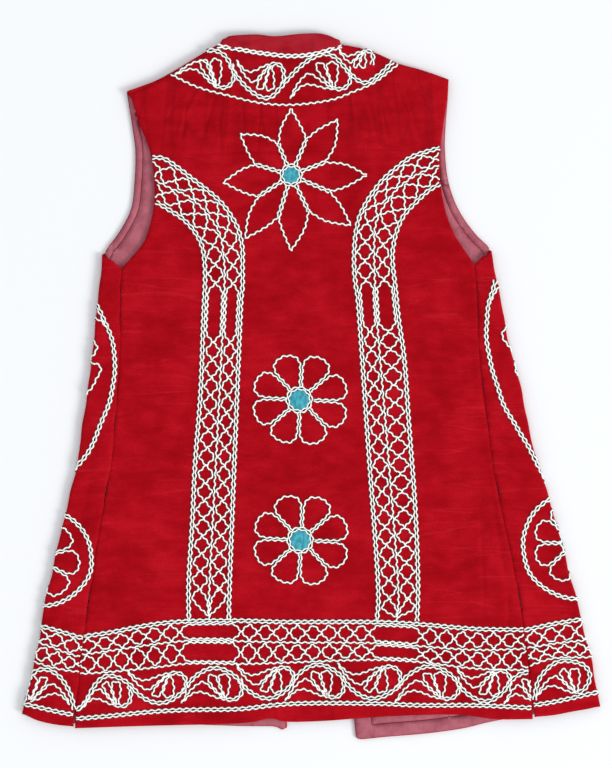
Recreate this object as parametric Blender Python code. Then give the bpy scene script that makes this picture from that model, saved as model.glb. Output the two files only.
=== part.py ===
"""Embroidered velvet vest, laid face down on a table.

Seen from above, the back panel is uppermost, the neck is toward +Y and the wearer's left is at -X.
Each front lies under the back with its velvet on the table. At its side it rolls over to the upper
face as far as the side seam, and at its shoulder as far as the shoulder seam. The fronts' lining and
its facings lie inside, and show in the armholes and below the back hem.

Tables and sizes are in millimetres, and the meshes are in metres.
"""
import math
from collections import namedtuple

import bmesh
import bpy
import numpy as np
from mathutils import Vector
from mathutils.geometry import delaunay_2d_cdt

MM = 0.001

# Driving sizes.
WALL = 2.4                # velvet with its backing
LINING_WALL = 1.0         # rose lining and its facings
ROLL = 4.0                # outer radius of the rolled sides and shoulders
SEAM_GAP = 0.3            # between neighbouring pieces
SHOULDER_SEAM_IN = 4.4    # shoulder seam, in from the shoulder's edge
ARMHOLE_FACING = 11.0     # width of the strip sewn round each armhole
EDGE_FACING = 18.0        # width of the facing down each front edge
HEM_FACING = 14.0         # width of the facing along the hem
TURNED_EDGE = 1.5         # velvet left showing outside a facing
PATCH_WALL = 1.0
STAR_PATCH_RADIUS = 9.0
FLOWER_PATCH_RADIUS = 11.0
PATCH_SIDES = 20

# Spacing of a panel's points, and of the points along its cut edge.
PANEL_SPACING = 24.0
LINING_SPACING = 60.0
COLLAR_SPACING = 12.0
EDGE_STEP = 20.0
ROLL_STEPS = 4

THICKNESS = 2 * ROLL
ROLL_MID = ROLL - WALL / 2
LINING_BOTTOM = WALL + SEAM_GAP

# The body, from hem to underarm: each level's y, then the x of its rolled edges and side seams.
Level = namedtuple("Level", "y left_roll left_seam right_seam right_roll")
BODY = [
    Level(-376, -322.0, -260.5, 244.5, 321.0),
    Level(-350, -316.5, -259.0, 243.0, 318.0),
    Level(-300, -305.0, -254.0, 238.0, 309.0),
    Level(-250, -296.0, -247.0, 231.0, 296.0),
    Level(-200, -286.0, -240.0, 223.0, 284.0),
    Level(-150, -274.0, -232.0, 212.0, 270.0),
    Level(-100, -261.0, -223.0, 202.0, 255.0),
    Level(-50, -252.0, -217.0, 195.0, 241.0),
    Level(0, -245.0, -213.0, 188.0, 231.0),
    Level(50, -239.0, -211.0, 184.0, 218.0),
    Level(100, -235.0, -210.0, 182.0, 208.0),
    Level(150, -231.0, -209.0, 179.0, 199.0),
]

# The armholes, from underarm to shoulder: each level's y, then the x of the back's and fronts' edges.
Armhole = namedtuple("Armhole", "y left_front left_back right_back right_front")
ARMHOLES = [
    Armhole(155, -223.0, -187.0, 165.0, 194.0),
    Armhole(170, -212.0, -180.0, 156.0, 179.0),
    Armhole(195, -199.0, -174.0, 147.0, 162.0),
    Armhole(225, -195.0, -173.0, 142.0, 151.0),
    Armhole(260, -194.0, -178.0, 141.5, 147.0),
    Armhole(290, -198.0, -190.0, 145.5, 148.0),
    Armhole(315, -202.0, -197.0, 149.0, 150.0),
]
UNDERARM = {"left": (-209.5, 129.5), "right": (179.5, 134.0)}
# Where each front's armhole edge meets its side roll.
ROLL_TOP = {"left": (-228.0, 147.0), "right": (196.0, 151.0)}

# The shoulders' rolled edges, from tip to neck.
SHOULDER = {
    "left": [(-203.0, 326.0), (-173.0, 337.0), (-152.0, 348.0), (-134.0, 359.0), (-105.0, 376.0)],
    "right": [(151.0, 339.0), (121.0, 349.5), (97.0, 356.0), (78.0, 365.0), (58.0, 372.5), (34.0, 377.0)],
}

# The collar's upper half: x, then y at the neck seam and at the collar's free edge.
Collar = namedtuple("Collar", "x seam edge")
COLLAR = [
    Collar(-88, 370.5, 386.0),
    Collar(-61, 368.0, 387.5),
    Collar(-40, 366.0, 385.5),
    Collar(-14, 364.5, 388.0),
    Collar(7, 366.5, 388.6),
    Collar(18, 369.5, 386.5),
]
# Where its two ends start to roll under, from neck seam to free edge.
COLLAR_ENDS = {"left": [(-100.5, 371.8), (-94.5, 381.5)], "right": [(29.5, 372.1), (28.0, 381.0)]}
# The collar's lower half: the front neckline, and the free edge on the wearer's side of it.
FRONT_NECK = {
    "left": [(-101.5, 371.2), (-97.5, 350.0), (-82.0, 322.0), (-60.0, 306.0), (-38.0, 300.0)],
    "right": [(30.5, 371.2), (28.0, 350.0), (17.0, 322.0), (-2.0, 306.0), (-20.0, 300.0)],
}
COLLAR_LOWER_EDGE = {
    "left": [(-35.0, 319.0), (-53.0, 325.0), (-69.0, 336.0), (-80.0, 354.0), (-88.0, 372.0)],
    "right": [(-23.0, 319.0), (-8.0, 325.0), (4.0, 336.0), (12.0, 354.0), (20.0, 372.0)],
}

# The hems: the back's, the fronts' where they lie under it, and the fronts' rolled over.
BACK_HEM = [
    (-260.2, -376.0), (-185.0, -373.5), (-79.0, -370.5), (-46.0, -365.5), (-26.0, -369.0),
    (16.0, -368.0), (82.0, -363.0), (158.0, -361.0), (202.0, -366.0), (243.5, -366.0),
]
UNDER_HEM = {
    "left": [(-27.0, -375.5), (-33.0, -378.0), (-42.0, -374.5), (-79.0, -374.0), (-185.0, -371.0),
             (-250.0, -372.0), (-290.0, -367.0), (-314.5, -359.0)],
    "right": [(49.0, -386.0), (54.5, -388.6), (82.0, -386.0), (119.0, -383.0), (145.0, -380.0),
              (170.0, -376.0), (202.0, -368.5), (260.0, -359.0), (313.5, -352.0)],
}
OVER_HEM = {
    "left": [(-314.0, -361.0), (-300.0, -367.5), (-280.0, -372.0), (-260.8, -374.0)],
    "right": [(313.0, -352.5), (302.0, -355.0), (287.0, -357.5), (266.0, -361.5), (244.4, -363.5)],
}

# The largest folds of the upper face: middle, direction in degrees, half length, half width, height.
Fold = namedtuple("Fold", "x y turn reach width height")
FOLDS = [
    Fold(10, -330, 92, 150, 34, -2.0),      # the back sinks between the two front edges
    Fold(222, -190, 98, 90, 20, 1.4),       # soft upright folds beside the right seam
    Fold(196, -235, 95, 70, 18, 1.0),
    Fold(-228, -150, 82, 120, 22, 0.9),
    Fold(-120, 300, 70, 40, 22, 0.9),       # upright wrinkles over the shoulders
    Fold(70, 305, 100, 45, 24, 0.9),
    Fold(-25, 262, 2, 120, 18, -0.7),       # the pressed line across the upper back
]

# Colours are linear.
VELVET_RED = (0.39, 0.006, 0.012, 1.0)
LINING_ROSE = (0.46, 0.13, 0.18, 1.0)
PATCH_TURQUOISE = (0.06, 0.42, 0.52, 1.0)

# The turquoise patches: name, middle and radius.
PATCHES = [
    ("patch_star", (-22.5, 232.5), STAR_PATCH_RADIUS),
    ("patch_middle", (-13.5, -14.5), FLOWER_PATCH_RADIUS),
    ("patch_lower", (-12.5, -169.0), FLOWER_PATCH_RADIUS),
]


# ---------------------------------------------------------------- lines in the flat

def smooth_line(points, step=EDGE_STEP):
    """Points every `step` or less along a smooth curve through `points`."""
    ends = [2 * np.array(points[0]) - points[1], 2 * np.array(points[-1]) - points[-2]]
    knots = [ends[0]] + [np.array(p, float) for p in points] + [ends[1]]
    line = []
    for before, start, end, after in zip(knots, knots[1:], knots[2:], knots[3:]):
        pieces = max(1, math.ceil(np.linalg.norm(end - start) / step))
        for t in np.arange(pieces) / pieces:
            line.append(0.5 * (2 * start + (end - before) * t
                               + (2 * before - 5 * start + 4 * end - after) * t ** 2
                               + (3 * start - before - 3 * end + after) * t ** 3))
    return line + [knots[-2]]


def at(points, value):
    """The second coordinate of a smooth curve through `points`, where its first is `value`."""
    line = sorted((tuple(p) for p in smooth_line(points, 5.0)), key=lambda p: p[0])
    return float(np.interp(value, [p[0] for p in line], [p[1] for p in line]))


def shifted(line, distance):
    """The line moved sideways: to its left for a distance over 0."""
    line = [np.array(p, float) for p in line]
    moved = []
    for i, point in enumerate(line):
        along = line[min(i + 1, len(line) - 1)] - line[max(i - 1, 0)]
        along /= np.linalg.norm(along)
        moved.append(point + distance * np.array((-along[1], along[0])))
    return moved


def level_line(rows, column):
    """A table's column as (y, x) points, for `at`."""
    return [(row.y, getattr(row, column)) for row in rows]


def sign(side):
    return -1 if side == "left" else 1


def roll_start(side, y):
    """The x at which a front leaves the table and starts to roll up."""
    return at(level_line(BODY, side + "_roll"), y) - sign(side) * ROLL


def shoulder_start(side, x):
    """The y at which a front starts to roll over the shoulder."""
    return at(SHOULDER[side], x) - ROLL


def developed(side, x, y):
    """Flat-pattern point of a place on the part that is rolled over at the side."""
    start = roll_start(side, y)
    beyond = math.pi * ROLL_MID + sign(side) * (start - x)
    return start + sign(side) * beyond, y


# ---------------------------------------------------------------- folding the flat pieces

def relief(x, y):
    """Height of the largest folds at a place on the upper face."""
    total = 0.0
    for fold in FOLDS:
        turn = math.radians(fold.turn)
        along = (x - fold.x) * math.cos(turn) + (y - fold.y) * math.sin(turn)
        across = (y - fold.y) * math.cos(turn) - (x - fold.x) * math.sin(turn)
        total += fold.height * math.exp(-(along / fold.reach) ** 2 - (across / fold.width) ** 2)
    return total


def rolled(beyond, radius):
    """Plan distance and height of cloth `beyond` the start of a roll, and its share of the relief."""
    turn = min(max(beyond / ROLL_MID, 0.0), math.pi)
    level = min(beyond, 0.0) - max(beyond - math.pi * ROLL_MID, 0.0)
    return level + radius * math.sin(turn), ROLL - radius * math.cos(turn), (turn / math.pi) ** 2


def fold_front(side, point, radius):
    """A front's flat point, folded: rolled at the side, or over the shoulder."""
    x, y = point
    over_shoulder = y - shoulder_start(side, x)
    if over_shoulder > 0:
        out, z, share = rolled(over_shoulder, radius)
        y = shoulder_start(side, x) + out
    else:
        start = roll_start(side, y)
        out, z, share = rolled(sign(side) * (x - start), radius)
        x = start + sign(side) * out
    return x, y, z + share * relief(x, y)


def collar_fold(side):
    """A collar end's fold: a point on the line where its roll starts, and its outward direction."""
    low, high = (np.array(p) for p in COLLAR_ENDS[side])
    along = (high - low) / np.linalg.norm(high - low)
    outward = sign(side) * np.array((along[1], -along[0]))
    return low, outward


def fold_collar(point, radius):
    """The collar's flat point: its upper half lies level, and its ends roll under to the front."""
    point = np.array(point, float)
    for side in ("left", "right"):
        place, outward = collar_fold(side)
        beyond = float((point - place) @ outward)
        if beyond > 0:
            out, z, _ = rolled(beyond, radius)
            flat = point + (out - beyond) * outward
            return flat[0], flat[1], THICKNESS - z
    return point[0], point[1], ROLL + radius


def collar_developed(side, point):
    """Flat-pattern point of a place on the collar's lower half."""
    place, outward = collar_fold(side)
    beyond = float((np.array(point) - place) @ outward)
    return np.array(point) + (math.pi * ROLL_MID - 2 * beyond) * outward


# ---------------------------------------------------------------- cutting and making cloth

def clearance(outline, point):
    """Distance from a point to the outline, under 0 outside it."""
    nexts = np.roll(outline, -1, axis=0)
    run = nexts - outline
    crosses = (outline[:, 1] > point[1]) != (nexts[:, 1] > point[1])
    rise = np.where(crosses, run[:, 1], 1.0)
    meets = outline[:, 0] + (point[1] - outline[:, 1]) / rise * run[:, 0]
    inside = np.count_nonzero(crosses & (point[0] < meets)) % 2
    t = np.clip(((point - outline) * run).sum(axis=1) / (run ** 2).sum(axis=1), 0, 1)
    near = np.linalg.norm(outline + t[:, None] * run - point, axis=1).min()
    return near if inside else -near


def grid(outline, spacing):
    """Points in staggered rows over the outline's whole box."""
    low, high = outline.min(axis=0), outline.max(axis=0)
    points = []
    for row, y in enumerate(np.arange(low[1] + spacing / 2, high[1], spacing * math.sin(math.pi / 3))):
        start = low[0] + spacing * (0.25 + 0.5 * (row % 2))
        points += [np.array((x, y)) for x in np.arange(start, high[0], spacing)]
    return points


def fill(outline, spacing, rows=()):
    """Points and triangles that fill a flat outline. Triangle edges follow each of the `rows`."""
    outline = np.array(outline, float)
    points = list(outline)
    edges = []
    for row in rows:
        last = None
        for point in row:
            if clearance(outline, point) < 1.0:
                last = None
                continue
            points.append(np.array(point, float))
            if last is not None:
                edges.append((last, len(points) - 1))
            last = len(points) - 1
    held = np.array(points[len(outline):]).reshape(-1, 2)
    for point in grid(outline, spacing):
        crowded = len(held) and np.linalg.norm(held - point, axis=1).min() < spacing * 0.45
        if not crowded and clearance(outline, point) > spacing * 0.45:
            points.append(point)
    filled = delaunay_2d_cdt([Vector(p) for p in points], edges, [list(range(len(outline)))], 1, 1e-4)
    return [tuple(p) for p in filled[0]], filled[2]


def make_cloth(name, material, outline, spacing, outer, inner, rows=()):
    """A closed sheet: its flat outline is filled, and each point is placed on its two faces."""
    points, triangles = fill(outline, spacing, rows)
    mesh = bmesh.new()
    faces = [[mesh.verts.new(Vector(place(p)) * MM) for p in points] for place in (outer, inner)]
    rim = set()
    for a, b, c in triangles:
        mesh.faces.new((faces[0][a], faces[0][b], faces[0][c]))
        mesh.faces.new((faces[1][c], faces[1][b], faces[1][a]))
        for edge in ((a, b), (b, c), (c, a)):
            if edge[::-1] in rim:
                rim.remove(edge[::-1])
            else:
                rim.add(edge)
    for a, b in sorted(rim):
        mesh.faces.new((faces[0][b], faces[0][a], faces[1][a], faces[1][b]))
    unused = [vert for vert in mesh.verts if not vert.link_faces]
    bmesh.ops.delete(mesh, geom=unused, context="VERTS")
    bmesh.ops.triangulate(mesh, faces=mesh.faces[:])
    bmesh.ops.recalc_face_normals(mesh, faces=mesh.faces[:])
    data = bpy.data.meshes.new(name)
    mesh.to_mesh(data)
    mesh.free()
    data.shade_smooth()
    data.set_sharp_from_angle(angle=math.radians(40))
    data.materials.append(material)
    piece = bpy.data.objects.new(name, data)
    bpy.context.scene.collection.objects.link(piece)
    return piece


def make_level_cloth(name, material, outline, spacing, bottom, wall):
    """A sheet that lies level."""
    return make_cloth(name, material, outline, spacing,
                      lambda p: (p[0], p[1], bottom + wall), lambda p: (p[0], p[1], bottom))


def principled(name, colour, roughness):
    material = bpy.data.materials.new(name)
    material.use_nodes = True
    shader = material.node_tree.nodes["Principled BSDF"]
    shader.inputs["Base Color"].default_value = colour
    shader.inputs["Roughness"].default_value = roughness
    shader.inputs["Metallic"].default_value = 0.0
    return material


# ---------------------------------------------------------------- the pieces

def round_points(middle, radius, count):
    """Points round a circle."""
    turns = [2 * math.pi * i / count for i in range(count)]
    return [(middle[0] + radius * math.cos(t), middle[1] + radius * math.sin(t)) for t in turns]


def back_outline():
    """Hem, right side, right armhole, shoulders and neck, left armhole and left side."""
    half = SEAM_GAP / 2
    sides = {}
    for side in ("left", "right"):
        inward = -sign(side) * half
        top = UNDERARM[side][1]
        seam = [(at(level_line(BODY, side + "_seam"), y) + inward, y) for y in np.linspace(-340, top - 20, 16)]
        arm = [(getattr(row, side + "_back"), row.y) for row in ARMHOLES]
        shoulder = [(x, y - SHOULDER_SEAM_IN - half) for x, y in SHOULDER[side]]
        armhole = smooth_line([(UNDERARM[side][0] + inward, top)] + arm + [shoulder[0]])
        sides[side] = seam + armhole + smooth_line(shoulder)[1:]
    neck = [(row.x, row.seam - half) for row in COLLAR]
    return smooth_line(BACK_HEM) + sides["right"] + neck[::-1] + sides["left"][::-1]


def make_back(velvet):
    rings = []
    for _, middle, radius in PATCHES:
        ring = round_points(middle, radius, PATCH_SIDES)
        rings += [[middle], ring + ring[:1]]
    return make_cloth(
        "back_panel", velvet, back_outline(), PANEL_SPACING,
        lambda p: (p[0], p[1], THICKNESS + relief(*p)),
        lambda p: (p[0], p[1], THICKNESS - WALL + relief(*p)), rings)


def front_armhole(side):
    """A front's armhole edge on the table, from the top of its side roll to the shoulder's roll."""
    arm = [(getattr(row, side + "_front"), row.y) for row in ARMHOLES]
    tip = SHOULDER[side][0]
    return smooth_line([ROLL_TOP[side]] + arm + [(tip[0], tip[1] - ROLL)])


def front_edge(side):
    """A front's meeting edge, from hem to neck."""
    return smooth_line([UNDER_HEM[side][0], FRONT_NECK[side][-1]], 40.0)


def across_roll(side, low_y, high_y):
    """Flat points straight across a front's side roll, from the table to the upper face."""
    shares = np.arange(ROLL_STEPS + 1) / ROLL_STEPS
    levels = [(share, low_y + (high_y - low_y) * share) for share in shares]
    return [(roll_start(side, y) + sign(side) * share * math.pi * ROLL_MID, y) for share, y in levels]


def front_outline(side):
    """Flat pattern of a front: hem, side seam, armhole, shoulder seam, neck and front edge."""
    half = SEAM_GAP / 2
    outward = sign(side) * half
    top = UNDERARM[side][1]
    under_hem = smooth_line(UNDER_HEM[side])[:-1]
    over_hem = [developed(side, x, y) for x, y in smooth_line(OVER_HEM[side])[1:]]
    hem_roll = across_roll(side, UNDER_HEM[side][-1][1], OVER_HEM[side][0][1])
    seam = []
    for y in np.linspace(-340, top - 20, 16):
        seam.append(developed(side, at(level_line(BODY, side + "_seam"), y) + outward, y))
    underarm = [developed(side, UNDERARM[side][0] + outward, top)]
    middle = (np.array(UNDERARM[side]) + np.array(ROLL_TOP[side])) / 2
    underarm.append(developed(side, middle[0], middle[1]))
    armhole_roll = across_roll(side, ROLL_TOP[side][1], ROLL_TOP[side][1] - ROLL)[::-1]
    beyond = math.pi * ROLL_MID + SHOULDER_SEAM_IN - half - ROLL
    shoulder = [(x, y - ROLL + beyond) for x, y in smooth_line(SHOULDER[side])]
    neck_end = SHOULDER[side][-1][0] + sign(side) * 2 * half
    shoulder = shoulder[:-1] + [(neck_end, shoulder[-1][1]), (neck_end, shoulder_start(side, neck_end))]
    neck = [(x + sign(side) * 2 * half, y - half) for x, y in smooth_line(FRONT_NECK[side], COLLAR_SPACING)]
    edge = front_edge(side)[::-1]
    outer = hem_roll + over_hem + seam + underarm + armhole_roll + front_armhole(side)[1:]
    return under_hem + outer + shoulder + neck + edge[1:-1]


def roll_rows(side):
    """Rows of points along a front's two rolls, from where each starts to where it lies level again."""
    rows = []
    low, high = sorted((SHOULDER[side][0][0], SHOULDER[side][-1][0]))
    for step in range(ROLL_STEPS + 1):
        beyond = step * math.pi * ROLL_MID / ROLL_STEPS
        levels = np.linspace(-378, ROLL_TOP[side][1] + 12, 24)
        rows.append([(roll_start(side, y) + sign(side) * beyond, y) for y in levels])
        rows.append([(x, shoulder_start(side, x) + beyond) for x in np.linspace(low, high, 9)])
    return rows


def make_front(side, velvet):
    return make_cloth(
        "front_" + side, velvet, front_outline(side), PANEL_SPACING,
        lambda p: fold_front(side, p, ROLL), lambda p: fold_front(side, p, ROLL - WALL), roll_rows(side))


def inside_line(side, line, distance):
    """A line that runs up a front's outer side, moved toward the front's middle."""
    return shifted(line, sign(side) * distance)


def make_armhole_facing(side, lining):
    """A narrow strip inside a front, round its armhole."""
    edge = [p for p in front_armhole(side)][1:-1]
    outer = inside_line(side, edge, TURNED_EDGE)
    inner = inside_line(side, edge, TURNED_EDGE + ARMHOLE_FACING)
    return make_level_cloth("armhole_facing_" + side, lining, outer + inner[::-1], LINING_SPACING,
                            LINING_BOTTOM, LINING_WALL)


def hem_line(side, distance):
    """A front's hem on the table, moved up, without its two ends."""
    line = smooth_line(UNDER_HEM[side])
    edge = UNDER_HEM[side][0][0]
    kept = [(x, y) for x, y in line if sign(side) * (x - edge) > TURNED_EDGE]
    return [(x, y + distance) for x, y in kept[:-1]]


def edge_x(side, y, distance):
    """The x of a front's meeting edge at a height, moved toward the side."""
    (hem_x, hem_y), (neck_x, neck_y) = front_edge(side)[0], front_edge(side)[-1]
    return hem_x + (neck_x - hem_x) * (y - hem_y) / (neck_y - hem_y) + sign(side) * distance


def make_edge_facing(side, lining):
    """The facing inside a front: along its hem, and up its meeting edge to the neck."""
    low = hem_line(side, TURNED_EDGE)
    high = [p for p in hem_line(side, TURNED_EDGE + HEM_FACING)
            if sign(side) * (p[0] - edge_x(side, p[1], TURNED_EDGE + EDGE_FACING)) > 1.0]
    corner_y = high[0][1] + 0.5
    top = FRONT_NECK[side][-1][1] - TURNED_EDGE
    inner = [(edge_x(side, y, TURNED_EDGE + EDGE_FACING), y) for y in (corner_y, top)]
    outer = [(edge_x(side, y, TURNED_EDGE), y) for y in (top, low[0][1] + 4)]
    return make_level_cloth("edge_facing_" + side, lining, low + high[::-1] + inner + outer,
                            LINING_SPACING, LINING_BOTTOM, LINING_WALL)


def make_lining(side, lining):
    """A front's lining, inside its facings."""
    inward = -sign(side)
    facing = TURNED_EDGE + EDGE_FACING + SEAM_GAP
    hem = [p for p in hem_line(side, TURNED_EDGE + HEM_FACING + SEAM_GAP)
           if sign(side) * (p[0] - edge_x(side, p[1], facing)) > 1.0]
    corner = [(edge_x(side, hem[0][1] + 0.5, facing), hem[0][1] + 0.5)]
    roll = [(roll_start(side, y) + inward * 1.0, y) for y in np.linspace(-325, ROLL_TOP[side][1] - 25, 14)]
    armhole = inside_line(side, front_armhole(side)[1:-1], TURNED_EDGE + ARMHOLE_FACING + SEAM_GAP)
    (tip, _), (neck, _) = SHOULDER[side][0], SHOULDER[side][-1]
    shoulder = [(x, shoulder_start(side, x) - 1.0) for x in np.linspace(tip + inward * 14, neck - inward * 3, 5)]
    neckline = [p for p in shifted(smooth_line(FRONT_NECK[side]), inward * -2 * TURNED_EDGE)[1:]
                if sign(side) * (p[0] - edge_x(side, p[1], facing)) > 1.0]
    top = [(edge_x(side, neckline[-1][1], facing), neckline[-1][1])]
    outline = corner + hem + roll + armhole + shoulder + neckline + top
    return make_level_cloth("lining_" + side, lining, outline, LINING_SPACING, LINING_BOTTOM, LINING_WALL)


def make_collar(velvet):
    """A stand collar pressed flat: its back half is uppermost, and its ends run on under it."""
    half = SEAM_GAP / 2
    seam = [(row.x, row.seam + half) for row in COLLAR]
    edge = [(row.x, row.edge) for row in COLLAR]
    ends = {}
    rows = []
    for side in ("left", "right"):
        low, high = (np.array(p) for p in COLLAR_ENDS[side])
        across = collar_fold(side)[1] * math.pi * ROLL_MID
        neckline = [(x - sign(side) * half, y + half) for x, y in smooth_line(FRONT_NECK[side], COLLAR_SPACING)]
        lower = neckline[1:] + smooth_line(COLLAR_LOWER_EDGE[side], COLLAR_SPACING)
        lower = [collar_developed(side, p) for p in lower]
        ends[side] = [low, low + across] + lower + [high + across, high]
        for step in range(1, ROLL_STEPS):
            rows.append([low + (high - low) * up + across * step / ROLL_STEPS for up in (0.2, 0.5, 0.8)])
    outline = seam + ends["right"] + edge[::-1] + ends["left"][::-1]
    return make_cloth("collar", velvet, outline, COLLAR_SPACING,
                      lambda p: fold_collar(p, ROLL), lambda p: fold_collar(p, ROLL - WALL), rows)


def make_patch(name, middle, radius, turquoise):
    """A round patch that lies on the back, made from the back's own points, moved out."""
    base = THICKNESS + SEAM_GAP
    return make_cloth(
        name, turquoise, round_points(middle, radius, PATCH_SIDES), radius * 3,
        lambda p: (p[0], p[1], base + PATCH_WALL + relief(*p)),
        lambda p: (p[0], p[1], base + relief(*p)), [[middle]])


def main():
    for old in list(bpy.data.objects):
        bpy.data.objects.remove(old)
    velvet = principled("red velvet", VELVET_RED, 0.85)
    lining = principled("rose lining", LINING_ROSE, 0.6)
    turquoise = principled("turquoise cloth", PATCH_TURQUOISE, 0.6)
    make_back(velvet)
    for side in ("left", "right"):
        make_front(side, velvet)
        make_lining(side, lining)
        make_armhole_facing(side, lining)
        make_edge_facing(side, lining)
    make_collar(velvet)
    for name, middle, radius in PATCHES:
        make_patch(name, middle, radius, turquoise)


main()
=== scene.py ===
"""Embroidered velvet vest, laid face down: the looks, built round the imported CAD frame.

Places in this script are in millimetres, in the frame's own axes, and become metres in each mesh.
Each panel is cut flat, filled with fine cloth points, rolled over at the sides and shoulders as the
CAD solids are, and creased. The cords are laid on the panels through the same folding.
"""
import math
from collections import namedtuple

import bpy
import numpy as np
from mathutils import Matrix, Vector
from mathutils.geometry import delaunay_2d_cdt


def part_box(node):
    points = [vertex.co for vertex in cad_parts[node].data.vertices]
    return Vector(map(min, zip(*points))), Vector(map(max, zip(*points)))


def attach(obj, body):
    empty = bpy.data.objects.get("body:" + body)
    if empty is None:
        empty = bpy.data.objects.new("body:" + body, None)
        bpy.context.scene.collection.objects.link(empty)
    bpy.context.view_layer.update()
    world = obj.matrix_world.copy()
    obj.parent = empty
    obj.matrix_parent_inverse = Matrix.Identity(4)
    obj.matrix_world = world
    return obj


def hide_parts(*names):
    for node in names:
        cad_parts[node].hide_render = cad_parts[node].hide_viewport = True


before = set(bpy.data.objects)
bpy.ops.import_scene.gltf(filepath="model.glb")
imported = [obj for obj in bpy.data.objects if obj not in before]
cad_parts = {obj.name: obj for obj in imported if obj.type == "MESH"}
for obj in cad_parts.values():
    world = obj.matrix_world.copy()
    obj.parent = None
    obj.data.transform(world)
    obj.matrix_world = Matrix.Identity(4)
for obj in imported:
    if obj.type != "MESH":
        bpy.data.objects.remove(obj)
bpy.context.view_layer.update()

MM = 0.001
SIDES = ("left", "right")
SIGN = {"left": -1, "right": 1}


def node_level(node, end):
    """A CAD node's lowest (0) or highest (1) z, in millimetres."""
    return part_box(node)[end][2] / MM


# ---------------------------------------------------------------- sizes

TOP = node_level("collar", 1)              # the upper face where it lies level
LINING_LOW = node_level("lining_left", 0)
LINING_HIGH = node_level("lining_left", 1)
CAD_WALL = LINING_LOW - 0.3
DEEPEST = -1.75                            # how far the back may sink onto the linings
ROLL = TOP / 2                             # the CAD's roll, which the cut was worked out on
ROLL_MID = ROLL - CAD_WALL / 2
HALF_TURN = math.pi * ROLL_MID             # cloth that a roll takes up
UNDER_FACE = 1.5                           # room under the fronts for their cords
MIDDLE = (TOP + UNDER_FACE) / 2            # height of the rolls' middles, and their outer radius
ROLL_RADIUS = (TOP - UNDER_FACE) / 2
FRONT_WALL = 1.2
BACK_WALL = 2.0
SEAM_GAP = 0.1
LINING_GAP = 0.7
ARMHOLE_FACING = 7.0
ARMHOLE_TURNINGS = 4.0                     # cloth turned under along its two edges, not modelled
EDGE_FACING = 18.0
HEM_FACING = 14.0
COLLAR_SLANT = {"left": 8.5, "right": 6.0}   # the collar's free edge comes down this far round its ends
TURNED_EDGE = 0.7                          # velvet left showing outside a facing
PUCKER_SPACING = 12.0                      # of the stitching along the linings' hems
PUCKERS_UP_TO = -352.0
PATCH_WALL = 0.7

CLOTH_SPACING = 3.1       # between the points that fill a piece of cloth
FRONT_SPACING = CLOTH_SPACING * 1.15
LINING_SPACING = 5.0
LINING_START = -325.0     # where a lining's rolled side starts, above its hem
COLLAR_SPACING = 2.4
PATCH_SPACING = 1.4
SEAM_START = -350.0       # where a side seam's points start, above the hem's corner
SEAM_STEP = 4.0           # between the points along a side seam
ROW_STEP = 4.0            # between the points along a rolled edge
CREASE_STEP = 3.0         # and along a narrow crease
ROW_MARGIN = 0.8          # how near the cut line such points may come
INNER_CLEAR = 2.2         # the inner face keeps the level it has this far from the cut line
EDGE_STEP = 3.0
CHART_STEP = 4.0
LONGEST_EDGE = 2.6
LINE_STEP = 2.0           # between the points that draw a long line of cord
MOTIF_STEP = 1.5          # and a small motif

CORD_RADIUS = 0.92
CORD_STEP = 1.1
CORD_SIDES = 6
CORD_LIFT = 0.35          # height of a cord's middle over the velvet
BRAID_LIFT = 0.6          # how much higher the braid over the collar's seam lies
CORD_MARGIN = 0.4         # how near its panel's edge a cord may come
WAVE = 7.7                # length of one wave of a cord
SWAY = 0.62               # how far a cord swings to each side
TWIN = 2.6                # distance between the two cords of a double line
TWIST = 2.4               # and of one whose cords are wound round each other
LAG = 0.7                 # how far, in radians, one of the two swings after the other
# The dark strands are painted shade, laid under and beside the cords.
SHADE_STRAND_RADIUS = 0.62
SHADE_STRAND_SWAY = 1.45        # the dark strand of painted shade swings out past its cord
SHADE_STRAND_SIDES = 4
SHADE_STRAND_LIFT = 0.45
SHADE_CORE_RADIUS = 1.05        # the dark strand of painted shade between the two cords of a double line
SHADE_CORE_LIFT = 0.15
LANE_INSET = 3.7          # how near the lattice comes to the middle of a double line
LINE_INSET = 2.1          # and of a single one
BAND_WEAVE = 20.0         # between the lattice's crossings in the upright bands,
BACK_WEAVE = 18.0         # in the back's hem band,
FRONT_WEAVE = 17.0        # and in the fronts'

# The body, from hem to underarm: each level's y, then the x of its rolled edges and side seams.
Level = namedtuple("Level", "y left_roll left_seam right_seam right_roll")
BODY = [Level(*row) for row in (
    (-376, -322, -260.5, 244.5, 321), (-350, -316.5, -259, 243, 318), (-300, -305, -254, 238, 309),
    (-250, -296, -247, 231, 296), (-200, -286, -240, 223, 284), (-150, -274, -232, 212, 270),
    (-100, -262, -223, 202, 255), (-50, -254, -217, 195, 241), (0, -246.4, -213, 188, 231),
    (50, -241, -211, 184, 218), (100, -235, -210, 182, 208), (150, -231, -209, 179, 199),
)]

# The armholes, from underarm to shoulder: each level's y, then the x of the back's and fronts' edges.
Armhole = namedtuple("Armhole", "y left_front left_back right_back right_front")
ARMHOLES = [Armhole(*row) for row in (
    (155, -223, -187, 165, 194), (170, -212, -180, 156, 179), (195, -199, -174, 147, 162),
    (225, -195, -173, 142, 151), (260, -194, -178, 141.5, 147), (290, -198, -190, 145.5, 148),
    (315, -202, -197, 149, 150),
)]
UNDERARM = {"left": (-209.5, 129.5), "right": (179.5, 134)}
ROLL_TOP = {"left": (-228, 147), "right": (196, 151)}

# The shoulders' rolled edges, from tip to neck.
SHOULDER = {
    "left": [(-203, 326), (-173, 337), (-152, 348), (-134, 359), (-104.2, 376.8)],
    "right": [(151, 339), (121, 349.5), (97, 356), (78, 365), (58, 372.5), (34.2, 377.4)],
}

# How far inside these edges the shoulder seams lie.
SEAM_IN = {
    "left": [(-203, 4.4), (-182, 4.2), (-166, 2.8), (-152, 1.6), (-104.2, 1.4)],
    "right": [(151, 1.8), (121, 1.4), (34.2, 1.4)],
}

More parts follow.
